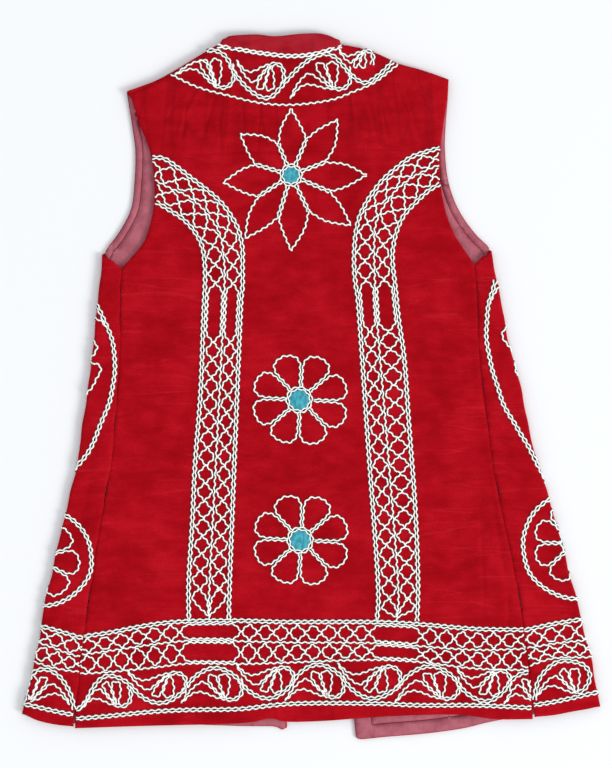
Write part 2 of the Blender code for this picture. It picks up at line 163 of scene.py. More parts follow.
# The collar's upper half: x, then y at the neck seam and at the collar's free edge.
Collar = namedtuple("Collar", "x seam edge")
COLLAR = [Collar(*row) for row in (
    (-88, 370.5, 386), (-61, 368, 387.5), (-40, 366, 385.5), (-14, 364.5, 388), (7, 366.5, 388.6),
    (18, 369.5, 386.5),
)]
COLLAR_ENDS = {"left": [(-100.5, 371.8), (-94, 383.3)], "right": [(30.6, 372.3), (27.6, 382.4)]}
FRONT_NECK = {
    "left": [(-101.5, 371.2), (-97.5, 350), (-82, 322), (-60, 306), (-38, 300)],
    "right": [(30.5, 371.2), (28, 350), (17, 322), (-2, 306), (-20, 300)],
}
COLLAR_LOWER_EDGE = {
    "left": [(-35, 319), (-53, 325), (-69, 336), (-80, 354), (-88, 372)],
    "right": [(-23, 319), (-8, 325), (4, 336), (12, 354), (20, 372)],
}

# The hems: the back's, the fronts' where they lie under it, and the fronts' rolled over.
BACK_HEM = [
    (-260.2, -376), (-185, -373.5), (-79, -370.5), (-46, -365.5), (-26, -369),
    (16, -368), (82, -363), (158, -361), (202, -366), (243.5, -366),
]
UNDER_HEM = {
    "left": [(-27, -375.5), (-33, -378), (-42, -374.5), (-79, -374), (-185, -371),
             (-250, -372), (-290, -367), (-314.5, -359)],
    "right": [(49, -386), (54.5, -388.6), (82, -386), (119, -383), (145, -380),
              (170, -376), (202, -368.5), (260, -359), (313.5, -352)],
}
OVER_HEM = {
    "left": [(-314, -361), (-300, -367.5), (-280, -372), (-260.8, -374)],
    "right": [(313, -352.5), (302, -355), (287, -357.5), (266, -361.5), (244.4, -363.5)],
}

# Folds and creases of the upper face: middle, direction in degrees, half length, half width, height.
Fold = namedtuple("Fold", "x y turn reach width height")
FOLDS = [Fold(*row) for row in (
    # the back sinks between the two front edges
    (10, -330, 92, 150, 34, -2), (228, -232, 118, 34, 5, -1.6),
    # soft upright folds beside the side seams
    (222, -190, 98, 90, 20, 1.4), (196, -235, 95, 70, 18, 1), (-228, -150, 82, 120, 22, 0.9),
    # upright wrinkles over the shoulders
    (-120, 300, 70, 40, 22, 0.9), (70, 305, 100, 45, 24, 0.9),
    # the pressed line across the upper back
    (-25, 262, 2, 120, 18, -0.7),
)]
CREASE_DEPTH = 1.7
CREASES = [Fold(*row) for row in (
    # the pressed line's own narrow crease
    (-40, 259, 1, 95, 1.5, -0.55), (52, 262, -2, 60, 1.3, -0.45), (-108, 256, 3, 45, 1.7, -0.4),
    # wrinkles that fan down from the left shoulder,
    (-128, 318, 62, 26, 2.2, 0.7), (-112, 300, 74, 34, 2, -0.6), (-92, 291, 84, 30, 2.4, 0.6),
    (-74, 286, 95, 24, 1.8, -0.5), (-152, 306, 56, 24, 2, -0.5), (-146, 276, 80, 26, 2.5, 0.5),
    # then mostly from the right shoulder
    (46, 296, 96, 30, 2.2, 0.6), (66, 301, 104, 34, 2, -0.6), (88, 306, 112, 30, 2.5, 0.6),
    (112, 296, 106, 28, 2, -0.55), (124, 318, 120, 20, 1.9, 0.5), (-140, 288, 84, 22, 1.6, -0.5),
    (-101, 284, 92, 20, 1.6, -0.5), (-58, 284, 86, 26, 1.6, -0.55), (80, 292, 101, 26, 1.6, -0.5),
    (101, 312, 112, 24, 1.6, -0.5),
    # level wrinkles beside the bands
    (-160, 60, 6, 36, 1.7, -0.4), (-178, 34, -4, 26, 1.5, 0.35), (-166, -8, 3, 40, 1.8, -0.4),
    (-184, -46, -7, 30, 1.7, 0.4), (-170, -92, 5, 42, 1.9, -0.45), (-196, -128, -3, 34, 1.7, 0.35),
    (-176, -170, 4, 44, 2, -0.4), (-200, -212, -6, 36, 1.8, 0.4), (146, 84, -5, 32, 1.7, -0.4),
    (160, 40, 4, 28, 1.6, 0.4), (142, 8, -3, 36, 1.8, -0.45), (168, -34, 7, 34, 1.7, 0.4),
    (150, -72, -4, 38, 1.9, -0.45), (176, -104, 5, 30, 1.7, 0.4), (158, -146, -6, 40, 2, -0.45),
    # faint level creases between the flowers
    (-30, 62, 3, 60, 1.8, -0.3), (4, 40, -2, 50, 1.6, 0.25), (-46, -88, 4, 46, 1.8, -0.3),
    (20, -96, -3, 52, 1.7, 0.25), (-20, -246, 2, 58, 1.8, -0.3),
    # the lower right seam's upright folds
    (206, -168, 99, 60, 3.4, -0.9), (232, -214, 94, 66, 2.8, 0.8), (188, -196, 92, 54, 3, -0.7),
    (216, -258, 88, 40, 2.8, -0.6),
    # and others at both sides
    (-246, -108, 80, 56, 2.6, -0.6), (-262, -196, 78, 60, 2.9, -0.6), (-226, 40, 88, 60, 2.2, -0.5),
    (206, 40, 84, 60, 2.5, -0.5), (242, -96, 72, 44, 2.6, 0.6), (284, -260, 74, 50, 3, -0.7),
    (-290, -290, 76, 44, 2.9, 0.6),
    # short folds up from the hem
    (-8, -352, 88, 30, 2.2, -0.8), (-38, -350, 96, 26, 2.5, 0.9), (26, -354, 86, 24, 2.2, 0.5),
)]


# ---------------------------------------------------------------- lines in the flat


def smooth_line(points, step=EDGE_STEP):
    """Points every `step` or less along a smooth curve through `points`."""
    points = [np.array(p, float) for p in points]
    knots = [2 * points[0] - points[1]] + points + [2 * points[-1] - points[-2]]
    line = []
    for before, start, end, after in zip(knots, knots[1:], knots[2:], knots[3:]):
        pieces = max(1, math.ceil(np.linalg.norm(end - start) / step))
        for t in np.arange(pieces) / pieces:
            line.append(0.5 * (2 * start + (end - before) * t
                               + (2 * before - 5 * start + 4 * end - after) * t ** 2
                               + (3 * start - before - 3 * end + after) * t ** 3))
    return np.array(line + [points[-1]])


def round_line(middle, radius, count=40):
    turns = np.linspace(0, 2 * math.pi, count + 1)
    return np.column_stack((middle[0] + radius * np.cos(turns), middle[1] + radius * np.sin(turns)))


def chart(points):
    """A curve's values, in order of its first coordinate, for `read`."""
    line = smooth_line(points, CHART_STEP)
    return line[np.argsort(line[:, 0])]


def read(curve, value):
    return np.interp(value, curve[:, 0], curve[:, 1])


def column(rows, name):
    return chart([(row.y, getattr(row, name)) for row in rows])


ROLL_LINE = {side: column(BODY, side + "_roll") for side in SIDES}
SEAM_LINE = {side: column(BODY, side + "_seam") for side in SIDES}
SHOULDER_LINE = {side: chart(SHOULDER[side]) for side in SIDES}
SHOULDER_SEAM = {side: chart(SEAM_IN[side]) for side in SIDES}


def normals(line):
    """Unit vectors to the left of a line's direction."""
    along = np.gradient(line, axis=0)
    along /= np.maximum(np.linalg.norm(along, axis=1, keepdims=True), 1e-9)
    return np.column_stack((-along[:, 1], along[:, 0]))


def shifted(line, distance):
    return line + distance * normals(line)


def lengths(line):
    """Distance along a line to each of its points."""
    return np.concatenate(([0], np.cumsum(np.linalg.norm(np.diff(line, axis=0), axis=1))))


def even_count(line, count):
    """The line with `count` points, an even distance apart."""
    run = lengths(line)
    places = np.linspace(0, run[-1], count)
    return np.column_stack((np.interp(places, run, line[:, 0]), np.interp(places, run, line[:, 1])))


def even(line, step):
    """The line with points an even distance apart, about `step`."""
    return even_count(line, max(3, round(lengths(line)[-1] / step) + 1))


def clearances(outline, points):
    """Distance from each point to the outline, under 0 outside it."""
    nexts = np.roll(outline, -1, axis=0)
    run = nexts - outline
    squared = np.maximum((run ** 2).sum(axis=1), 1e-12)
    found = []
    for block in np.array_split(points, max(1, len(points) // 1500)):
        gap = block[:, None, :] - outline[None, :, :]
        share = np.clip((gap * run).sum(axis=2) / squared, 0, 1)
        near = np.linalg.norm(gap - share[:, :, None] * run, axis=2).min(axis=1)
        above = outline[None, :, 1] > block[:, 1:2]
        crosses = above != (nexts[None, :, 1] > block[:, 1:2])
        rise = np.where(np.abs(run[:, 1]) > 1e-9, run[:, 1], 1e-9)
        meets = outline[:, 0] + gap[:, :, 1] / rise * run[:, 0]
        inside = np.count_nonzero(crosses & (block[:, 0:1] < meets), axis=1) % 2 == 1
        found.append(np.where(inside, near, -near))
    return np.concatenate(found)


# ---------------------------------------------------------------- folding the flat pieces


def wobble(y):
    """How the rolled sides wander from a clean line."""
    return 0.9 * np.sin(y / 13.0 + 1.0) * np.sin(y / 47.0) + 0.6 * np.sin(y / 7.3 + 2.0) * np.cos(y / 31.0)


def roll_start(side, y):
    return read(ROLL_LINE[side], y) - SIGN[side] * ROLL


def shoulder_start(side, x):
    return read(SHOULDER_LINE[side], x) - ROLL


def developed(side, line):
    """Flat-pattern points of places on the part that is rolled over at the side."""
    line = np.atleast_2d(line)
    start = roll_start(side, line[:, 1])
    beyond = HALF_TURN + SIGN[side] * (start - line[:, 0])
    return np.column_stack((start + SIGN[side] * beyond, line[:, 1]))


def waver(fold, along):
    """How far a fold strays from straight."""
    return 0.012 * along * np.sin(along / 17.0 + fold.x)


def creased(x, y, rows):
    """Height of the listed folds at places on the upper face."""
    total = np.zeros_like(x)
    for fold in rows:
        turn = math.radians(fold.turn)
        along = (x - fold.x) * math.cos(turn) + (y - fold.y) * math.sin(turn)
        across = (y - fold.y) * math.cos(turn) - (x - fold.x) * math.sin(turn) + waver(fold, along)
        total += fold.height * np.exp(-(along / fold.reach) ** 2 - (across / fold.width) ** 2)
    return total


def relief(x, y):
    """Height of all folds, with a faint unevenness between them."""
    faint = (0.18 * np.sin(x / 19.0 + y / 41.0) * np.sin(y / 23.0 - x / 57.0)
             + 0.10 * np.sin(x / 7.0 - y / 11.0 + 1.3) * np.sin(y / 9.0 + x / 31.0))
    return np.maximum(creased(x, y, FOLDS) + CREASE_DEPTH * creased(x, y, CREASES) + faint, DEEPEST)


def edge_drop(clear):
    """How far a sewn or turned edge curves down, near the cut line."""
    return 0.5 * np.clip(1 - clear / 1.6, 0, 1) ** 2 - 0.2 * np.exp(-((clear - 3.6) / 1.6) ** 2)


def rolled(beyond, radius):
    """Plan distance, height and share of the relief for cloth `beyond` the start of a roll.

    The roll runs from the fronts' under face up to the level top.
    """
    turn = np.clip(beyond / ROLL_MID, 0, math.pi)
    level = np.minimum(beyond, 0) - np.maximum(beyond - HALF_TURN, 0)
    return level + radius * np.sin(turn), MIDDLE - radius * np.cos(turn), (turn / math.pi) ** 2


def divided(outline):
    """A closed outline with its long edges divided."""
    points = []
    for start, end in zip(outline, np.roll(outline, -1, axis=0)):
        pieces = max(1, math.ceil(np.linalg.norm(end - start) / LONGEST_EDGE))
        points += [start + (end - start) * share for share in np.arange(pieces) / pieces]
    return np.array(points)


class Panel:
    """A cut piece: its outline in the flat, and where each of its points comes to lie."""

    def __init__(self, outline):
        self.outline = divided(np.array(outline, float))

    def clear(self, flat):
        return clearances(self.outline, flat)

    def place(self, flat, lift, clear=None):
        """Where flat points come to lie, `lift` over the piece's outer face."""
        return self.laid(flat, *flat.T, lift, self.clear(flat) if clear is None else clear)


class Back(Panel):
    def laid(self, flat, x, y, lift, clear):
        return np.column_stack((x, y, TOP + relief(x, y) - edge_drop(clear) + lift))


class Front(Panel):
    def __init__(self, side, outline):
        super().__init__(outline)
        self.side = side

    def laid(self, flat, x, y, lift, clear):
        sign = SIGN[self.side]
        radius = ROLL_RADIUS + lift
        start_y = shoulder_start(self.side, x)
        over = y > start_y
        out_y, z_y, share_y = rolled(y - start_y, radius)
        start_x = roll_start(self.side, y)
        out_x, z_x, share_x = rolled(sign * (x - start_x), radius)
        out_x = out_x + wobble(y) * np.clip(sign * (x - start_x) / ROLL, 0, 1)
        share = np.where(over, share_y, share_x)
        new_x = np.where(over, x, start_x + sign * out_x)
        new_y = np.where(over, start_y + out_y, y)
        z = np.where(over, z_y, z_x)
        z = z - edge_drop(clear) * (z / MIDDLE - 1)
        return np.column_stack((new_x, new_y, z + share * relief(new_x, new_y)))


COLLAR_SEAM = chart([(row.x, row.seam) for row in COLLAR])


def collar_fold(side):
    """A collar end's fold: where its roll starts, and the directions up and outward."""
    low, high = (np.array(p) for p in COLLAR_ENDS[side])
    along = (high - low) / np.linalg.norm(high - low)
    return low, along, SIGN[side] * np.array((along[1], -along[0]))


class CollarPanel(Panel):
    def laid(self, flat, x, y, lift, clear):
        radius = ROLL_RADIUS + lift
        spot = flat
        up_collar = np.clip((y - read(COLLAR_SEAM, x)) / 18.0, 0, 1)
        pucker = 0.5 * np.sin(x / 5.3 + 1.1 * np.sin(x / 13.0)) + 0.35 * np.sin(x / 2.9 + y / 6.0)
        swell = (1.4 + 0.9 * np.sin(x / 13.0 + 0.8 + 0.05 * y)) * np.sin(math.pi * up_collar)
        swell += 1.3 * pucker * (1 - up_collar) * np.clip(clear / 3, 0, 1)
        z = MIDDLE + radius
        height = swell - edge_drop(clear)
        for side in SIDES:
            place, _, outward = collar_fold(side)
            beyond = (flat - place) @ outward
            out, rolled_z, share = rolled(beyond, radius)
            spot = np.where((beyond > 0)[:, None], flat + (out - beyond)[:, None] * outward, spot)
            z = np.where(beyond > 0, 2 * MIDDLE - rolled_z, z)
            height = np.where(beyond > 0, height * (1 - share), height)
        return np.column_stack((spot, z + height))


class Lining(Panel):
    """A level piece inside a front, with small soft wrinkles, puckered where the hem is stitched."""

    def laid(self, flat, x, y, lift, clear):
        wrinkle = 0.28 * np.sin(x / 5.0 + y / 14.0) * np.sin(y / 9.0 - x / 33.0)
        stitched = 0.5 * np.exp(-(np.sin(x / PUCKER_SPACING * math.pi + y / 40.0) / 0.28) ** 2)
        stitched = stitched * (y < PUCKERS_UP_TO)
        drop = 0.5 * np.clip(1 - clear / 1.4, 0, 1) ** 2
        height = (wrinkle - stitched) * np.clip(clear / 2, 0, 1) - drop
        return np.column_stack((x, y, LINING_HIGH + height + lift))


class Patch(Panel):
    """A round patch on the back, a little full, with its edge held down by the ring of cord."""

    def __init__(self, middle, radius):
        super().__init__(round_line(middle, radius)[:-1])
        self.middle = np.array(middle)
        self.radius = radius

    def laid(self, flat, x, y, lift, clear):
        out = np.linalg.norm(flat - self.middle, axis=1) / self.radius
        turn = np.arctan2(y - self.middle[1], x - self.middle[0])
        swell = 0.9 + 0.5 * (1 - out ** 2) + 0.16 * out * np.sin(7 * turn + 1.0) * (out < 0.95)
        return np.column_stack((x, y, TOP + relief(x, y) + swell + lift))


# ---------------------------------------------------------------- outlines


def front_armhole(side):
    arm = [(getattr(row, side + "_front"), row.y) for row in ARMHOLES]
    tip = SHOULDER[side][0]
    return smooth_line([ROLL_TOP[side]] + arm + [(tip[0], tip[1] - ROLL)])


def side_seam(side, gap):
    """A side seam from above the hem to near the underarm, moved by `gap` along x."""
    levels = np.arange(SEAM_START, UNDERARM[side][1] - 4, SEAM_STEP)
    return np.column_stack((read(SEAM_LINE[side], levels) + gap, levels))


def back_outline():
    half = SEAM_GAP / 2
    sides = {}
    for side in SIDES:
        inward = -SIGN[side] * half
        arm = [(getattr(row, side + "_back"), row.y) for row in ARMHOLES]
        shoulder = [(x, y - float(read(SHOULDER_SEAM[side], x)) - half) for x, y in SHOULDER[side]]
        armhole = smooth_line([(UNDERARM[side][0] + inward, UNDERARM[side][1])] + arm + [shoulder[0]])
        sides[side] = np.vstack((side_seam(side, inward), armhole, smooth_line(shoulder)[1:]))
    neck = smooth_line([(row.x, row.seam - half) for row in COLLAR])
    return np.vstack((smooth_line(BACK_HEM), sides["right"], neck[::-1], sides["left"][::-1]))


def across_roll(side, low_y, high_y):
    """Flat points straight across a front's side roll, from the table to the upper face."""
    shares = np.linspace(0, 1, 9)
    levels = low_y + (high_y - low_y) * shares
    return np.column_stack((roll_start(side, levels) + SIGN[side] * shares * HALF_TURN, levels))


def front_outline(side):
    sign, half = SIGN[side], SEAM_GAP / 2
    under_hem = smooth_line(UNDER_HEM[side])[:-1]
    over_hem = developed(side, smooth_line(OVER_HEM[side])[1:])
    hem_roll = across_roll(side, UNDER_HEM[side][-1][1], OVER_HEM[side][0][1])
    seam = developed(side, side_seam(side, sign * half))
    corner = np.array(UNDERARM[side]) + (sign * half, 0)
    middle = (corner + ROLL_TOP[side]) / 2
    underarm = developed(side, np.array((corner, middle)))
    armhole_roll = across_roll(side, ROLL_TOP[side][1], ROLL_TOP[side][1] - ROLL)[::-1]
    neck_end = SHOULDER[side][-1][0] + sign * 2 * half
    shoulder = smooth_line(SHOULDER[side])
    shoulder[:, 1] += HALF_TURN + read(SHOULDER_SEAM[side], shoulder[:, 0]) - half - 2 * ROLL
    shoulder[-1, 0] = neck_end
    shoulder_end = [(neck_end, shoulder_start(side, neck_end))]
    neck = smooth_line(FRONT_NECK[side]) + (sign * 2 * half, -half)
    edge = smooth_line([FRONT_NECK[side][-1], UNDER_HEM[side][0]])[1:-1]
    return np.vstack((under_hem, hem_roll, over_hem, seam, underarm, armhole_roll,
                      front_armhole(side)[1:], shoulder, shoulder_end, neck, edge))


def edge_x(side, y, distance):
    """The x of a front's meeting edge at a height, moved toward the side."""
    (hem_x, hem_y), (neck_x, neck_y) = UNDER_HEM[side][0], FRONT_NECK[side][-1]
    return hem_x + (neck_x - hem_x) * (y - hem_y) / (neck_y - hem_y) + SIGN[side] * distance


def hem_line(side, distance):
    """A front's hem on the table, moved up, without its two ends."""
    line = smooth_line(UNDER_HEM[side])
    kept = line[SIGN[side] * (line[:, 0] - UNDER_HEM[side][0][0]) > TURNED_EDGE]
    return kept[:-1] + (0, distance)


def beyond_facing(side, line, facing):
    """The points of a line that lie past the facing of a front's meeting edge."""
    return line[SIGN[side] * (line[:, 0] - edge_x(side, line[:, 1], facing)) > 1.0]


def along_armhole(side, distance):
    """The line inside a front's armhole at a distance, up from the edge of the rolled-over part."""
    top, corner = np.array(ROLL_TOP[side]), np.array(UNDERARM[side])
    start = top + (corner - top) / np.linalg.norm(corner - top) * distance
    return np.vstack((start, shifted(front_armhole(side)[2:-1], SIGN[side] * distance)))


def armhole_facing_outline(side):
    outer = along_armhole(side, TURNED_EDGE)
    inner = along_armhole(side, TURNED_EDGE + ARMHOLE_FACING)
    under = np.array(((0, -3.0), (0, -2.0)))
    return np.vstack((outer, inner[::-1], (inner[0], outer[0]) + under))


def edge_facing_outline(side):
    low = hem_line(side, TURNED_EDGE)
    high = beyond_facing(side, hem_line(side, TURNED_EDGE + HEM_FACING), TURNED_EDGE + EDGE_FACING)
    top = FRONT_NECK[side][-1][1] - TURNED_EDGE
    up = np.arange(high[0][1] + 0.5, top, 6.0)
    down = np.arange(top, low[0][1] + 4, -6.0)
    inner = np.column_stack((edge_x(side, up, TURNED_EDGE + EDGE_FACING), up))
    outer = np.column_stack((edge_x(side, down, TURNED_EDGE), down))
    return np.vstack((low, high[::-1], inner, outer))


def lining_outline(side):
    inward = -SIGN[side]
    facing = TURNED_EDGE + EDGE_FACING + LINING_GAP
    hem = beyond_facing(side, hem_line(side, TURNED_EDGE + HEM_FACING + LINING_GAP), facing)
    corner = (edge_x(side, hem[0][1] + 0.5, facing), hem[0][1] + 0.5)
    armhole = along_armhole(side, TURNED_EDGE + ARMHOLE_FACING + LINING_GAP)
    levels = np.linspace(LINING_START, armhole[0, 1] - 3, 60)
    roll = np.column_stack((roll_start(side, levels) + inward, levels))
    spread = np.linspace(SHOULDER[side][0][0] + inward * 14, SHOULDER[side][-1][0] - inward * 3, 24)
    shoulder = np.column_stack((spread, shoulder_start(side, spread) - 1.0))
    neck = beyond_facing(side, shifted(smooth_line(FRONT_NECK[side]), inward * -2 * TURNED_EDGE)[2:], facing)
    end = (edge_x(side, neck[-1][1], facing), neck[-1][1])
    return np.vstack((corner, hem, roll, armhole, shoulder, neck, end))


def collar_developed(side, line):
    place, _, outward = collar_fold(side)
    beyond = (line - place) @ outward
    return line + (HALF_TURN - 2 * beyond)[:, None] * outward


def collar_outline():
    half = SEAM_GAP / 2
    seam = smooth_line([COLLAR_ENDS["left"][0]] + [(r.x, r.seam + half) for r in COLLAR]
                       + [COLLAR_ENDS["right"][0]])
    edge = smooth_line([COLLAR_ENDS["left"][1]] + [(r.x, r.edge) for r in COLLAR] + [COLLAR_ENDS["right"][1]])
    ends = {}
    for side in SIDES:
        low, along, outward = collar_fold(side)
        high, across = np.array(COLLAR_ENDS[side][1]), outward * HALF_TURN
        slanted = across - COLLAR_SLANT[side] * along
        neckline = smooth_line(FRONT_NECK[side])[2:] + (-SIGN[side] * half, half)
        lower = collar_developed(side, np.vstack((neckline, smooth_line(COLLAR_LOWER_EDGE[side]))))
        ends[side] = np.vstack((smooth_line([low, low + across])[1:], lower,
                                smooth_line([high + slanted, high])[:-1]))
    return np.vstack((seam, ends["right"], edge[::-1], ends["left"][::-1]))


# ---------------------------------------------------------------- shader writing


class Value:
    """A shader socket that takes part in arithmetic."""

    def __init__(self, sheet, socket):
        self.sheet = sheet
        self.socket = socket

    def _math(self, operation, *terms):
        return self.sheet.node("ShaderNodeMath", {"operation": operation}, *terms)

    def __add__(self, other):
        return self._math("ADD", self, other)

    def __sub__(self, other):
        return self._math("SUBTRACT", self, other)

    def __mul__(self, other):
        return self._math("MULTIPLY", self, other)

    def __rsub__(self, other):
        return self._math("SUBTRACT", other, self)

    __radd__ = __add__
    __rmul__ = __mul__

    def sine(self):
        return self._math("SINE", self)

    def absolute(self):
        return self._math("ABSOLUTE", self)


class Finish:
    """A material under construction: a Principled shader with fixed values, and what feeds it."""

    def __init__(self, name, **fixed):
        self.material = bpy.data.materials.new(name)
        self.material.use_nodes = True
        self.tree = self.material.node_tree
        self.shader = self.tree.nodes["Principled BSDF"]
        for socket, value in fixed.items():
            self.shader.inputs[socket.replace("_", " ")].default_value = value

    def node(self, kind, settings=None, *values, out=0, **named):
        """Adds a node: settings first, then its sockets in order or by name. Returns an output."""
        node = self.tree.nodes.new(kind)
        for key, value in (settings or {}).items():
            setattr(node, key, value)
        for key, value in list(enumerate(values)) + list(named.items()):
            key = key.replace("_", " ") if isinstance(key, str) else key
            if isinstance(value, Value):
                self.tree.links.new(value.socket, node.inputs[key])
            else:
                node.inputs[key].default_value = value
        return Value(self, node.outputs[out])

    def place(self):
        return self.node("ShaderNodeTexCoord", None, out="Object")

    def pattern_place(self):
        return self.node("ShaderNodeUVMap", {"uv_map": "cut"})

    def parts(self, vector):
        """A vector's x and y."""
        split = self.node("ShaderNodeSeparateXYZ", None, vector)
        return split, Value(self, split.socket.node.outputs[1])

    def noise(self, vector, scale, detail=2.0, roughness=0.5, stretch=None):
        if stretch:
            vector = self.node("ShaderNodeMapping", None, Vector=vector, Scale=stretch)
        return self.node("ShaderNodeTexNoise", None, Vector=vector, Scale=scale, Detail=detail,
                         Roughness=roughness)

    def ranged(self, value, low, high, new_low=0.0, new_high=1.0):
        """The value's range mapped to a new one, smoothly and clamped."""
        return self.node("ShaderNodeMapRange", {"interpolation_type": "SMOOTHSTEP"},
                         value, low, high, new_low, new_high)

    def mixed(self, share, first, second):
        """One colour mixed into another."""
        settings = {"data_type": "RGBA", "clamp_factor": True}
        node = self.node("ShaderNodeMix", settings, share, out="Result").socket.node
        for index, colour in ((6, first), (7, second)):
            if isinstance(colour, Value):
                self.tree.links.new(colour.socket, node.inputs[index])
            else:
                node.inputs[index].default_value = (*colour, 1.0)
        return Value(self, node.outputs[2])

    def bump(self, height, distance, strength=1.0, under=None):
        named = {"Height": height, "Distance": distance, "Strength": strength}
        if under is not None:
            named["Normal"] = under
        return self.node("ShaderNodeBump", None, **named)

    def feed(self, **sockets):
        for socket, value in sockets.items():
            self.tree.links.new(value.socket, self.shader.inputs[socket.replace("_", " ")])
        return self.material


# Colours are linear.
VELVET = (0.322, 0.0010, 0.0055)
VELVET_DEEP = (0.240, 0.0003, 0.0030)
VELVET_BRIGHT = (0.392, 0.0016, 0.0075)
# Pale pile flecks, and also the painted highlight along the level creases.
VELVET_PALE = (0.490, 0.0130, 0.0260)
# Painted shade in the upright folds over the shoulders.
VELVET_FOLD_SHADE = (0.170, 0.0006, 0.0040)
# Painted sheen: the paler tone of velvet seen at a slant, used on the collar.
VELVET_SHEEN_PALE = (0.350, 0.0300, 0.0520)
LINING = (0.352, 0.083, 0.116)
LINING_DEEP = (0.270, 0.052, 0.078)
LINING_PALE = (0.425, 0.125, 0.163)
TURQUOISE = (0.014, 0.265, 0.345)
TURQUOISE_DEEP = (0.006, 0.160, 0.220)
TURQUOISE_PALE = (0.078, 0.460, 0.555)
CORD = (0.950, 0.940, 0.910)
CORD_SHADE = (0.760, 0.740, 0.700)
# Painted shade: dark strands under and beside the cream cords, so the shadow round them shows dark.
SHADE_STRAND_COLOUR = (0.008, 0.011, 0.008)
SHADE_STRAND_PALE = (0.040, 0.046, 0.034)


def velvet_finish(name, grazing_sheen):
    """Cotton velvet: a matt pile with a soft sheen, brushed into lighter and darker patches, with painted
    highlight along the level creases at the sides and painted shade in the upright folds over the shoulders.

    The second argument is how far the whole piece is painted paler, as painted sheen of velvet seen at a
    slant.
    """
    finish = Finish(name, Roughness=0.95, Specular_IOR_Level=0.06,
                    Sheen_Weight=0.16, Sheen_Roughness=0.42, Sheen_Tint=(1.0, 0.10, 0.14, 1.0))
    cut = finish.pattern_place()
    patches = finish.noise(cut, 16.0, 3.0, 0.6)
    brushed = finish.noise(cut, 34.0, 4.0, 0.6, stretch=(1.0, 2.2, 1.0))
    ribs = finish.noise(cut, 420.0, 2.0, 0.6, stretch=(0.22, 1.0, 1.0))
    pile = finish.noise(cut, 900.0, 2.0, 0.6)
    across, up = finish.parts(cut)
    level = (finish.noise(cut, 26.0, 2.0, 0.55, stretch=(0.10, 1.6, 1.0)) - 0.5).absolute()
    upright = (finish.noise(cut, 30.0, 1.0, 0.4, stretch=(1.3, 0.24, 1.0)) - 0.5).absolute()
    shoulders = finish.ranged(up + across * across * 0.8, 0.245, 0.30)
    sides = finish.ranged(across * across, 0.004, 0.020, 0.25, 1.0)
    nap = patches * 0.55 + brushed * 0.45
    colour = finish.mixed(finish.ranged(nap, 0.30, 0.68), VELVET_DEEP, VELVET_BRIGHT)
    colour = finish.mixed(finish.ranged(ribs, 0.30, 0.72, 0.0, 0.35), colour, VELVET)
    colour = finish.mixed(finish.ranged(nap * 0.4 + pile * 0.6, 0.50, 0.68, 0.0, 0.60), colour, VELVET_PALE)
    # Painted highlight: thin pale lines along the level creases toward the sides, for the velvet's sheen on
    # them.
    painted_crease_highlight = finish.ranged(level, 0.0, 0.012, 0.30, 0.0) * sides * finish.ranged(patches, 0.44, 0.54)
    colour = finish.mixed(painted_crease_highlight * (1.0 - shoulders), colour, VELVET_PALE)
    # Painted shade: dark upright lines in the folds over the shoulders, fainter where the piece is painted
    # paler.
    folds = finish.ranged(upright, 0.0, 0.05, 0.34 * (1.0 - grazing_sheen), 0.0) * shoulders
    colour = finish.mixed(folds, colour, VELVET_FOLD_SHADE)
    # Painted sheen: the whole piece made paler by the second argument, as velvet seen at a slant.
    colour = finish.mixed(finish.ranged(nap, 0.36, 0.62, grazing_sheen * 0.4, grazing_sheen * 1.6), colour, VELVET_SHEEN_PALE)
    surface = finish.bump(ribs * 0.6 + pile * 0.4, 0.0004, 0.55)
    surface = finish.bump(nap, 0.0016, 0.45, surface)
    return finish.feed(Base_Color=colour, Normal=surface)


def plain_weave(finish, cut, threads):
    """Crossing threads of a plain weave, `threads` to the metre."""
    x, y = finish.parts(cut)
    over = (x * (math.pi * threads)).sine().absolute()
    under = (y * (math.pi * threads)).sine().absolute()
    return over * 0.5 + under * 0.5


def lining_finish():
    """Rose cotton lining: a fine plain weave, a little shiny, uneven in colour."""
    finish = Finish("rose lining cloth", Roughness=0.62, Specular_IOR_Level=0.25,
                    Sheen_Weight=0.12, Sheen_Roughness=0.4)
    cut = finish.pattern_place()
    weave = plain_weave(finish, cut, 1400.0)
    patches = finish.noise(cut, 60.0, 3.0, 0.6)
    slubs = finish.noise(cut, 700.0, 2.0, 0.5, stretch=(1.0, 0.12, 1.0))
    colour = finish.mixed(finish.ranged(patches, 0.34, 0.66), LINING_DEEP, LINING_PALE)
    colour = finish.mixed(finish.ranged(slubs, 0.3, 0.7, 0.2, 0.8), colour, LINING)
    surface = finish.bump(patches, 0.0012, 0.4, finish.bump(weave + slubs, 0.0001, 0.5))
    return finish.feed(Base_Color=colour, Normal=surface)


def patch_finish():
    """Turquoise cloth with a silky, puckered face."""
    finish = Finish("turquoise cloth", Roughness=0.45, Specular_IOR_Level=0.35,
                    Sheen_Weight=0.2, Sheen_Roughness=0.4)
    cut = finish.pattern_place()
    pucker = finish.noise(cut, 260.0, 2.0, 0.55, stretch=(1.0, 0.55, 1.0))
    weave = plain_weave(finish, cut, 1600.0)
    colour = finish.mixed(finish.ranged(pucker, 0.32, 0.68), TURQUOISE_DEEP, TURQUOISE_PALE)
    colour = finish.mixed(0.45, colour, TURQUOISE)
    surface = finish.bump(pucker, 0.0009, 0.7, finish.bump(weave, 0.0001, 0.5))
    return finish.feed(Base_Color=colour, Normal=surface)


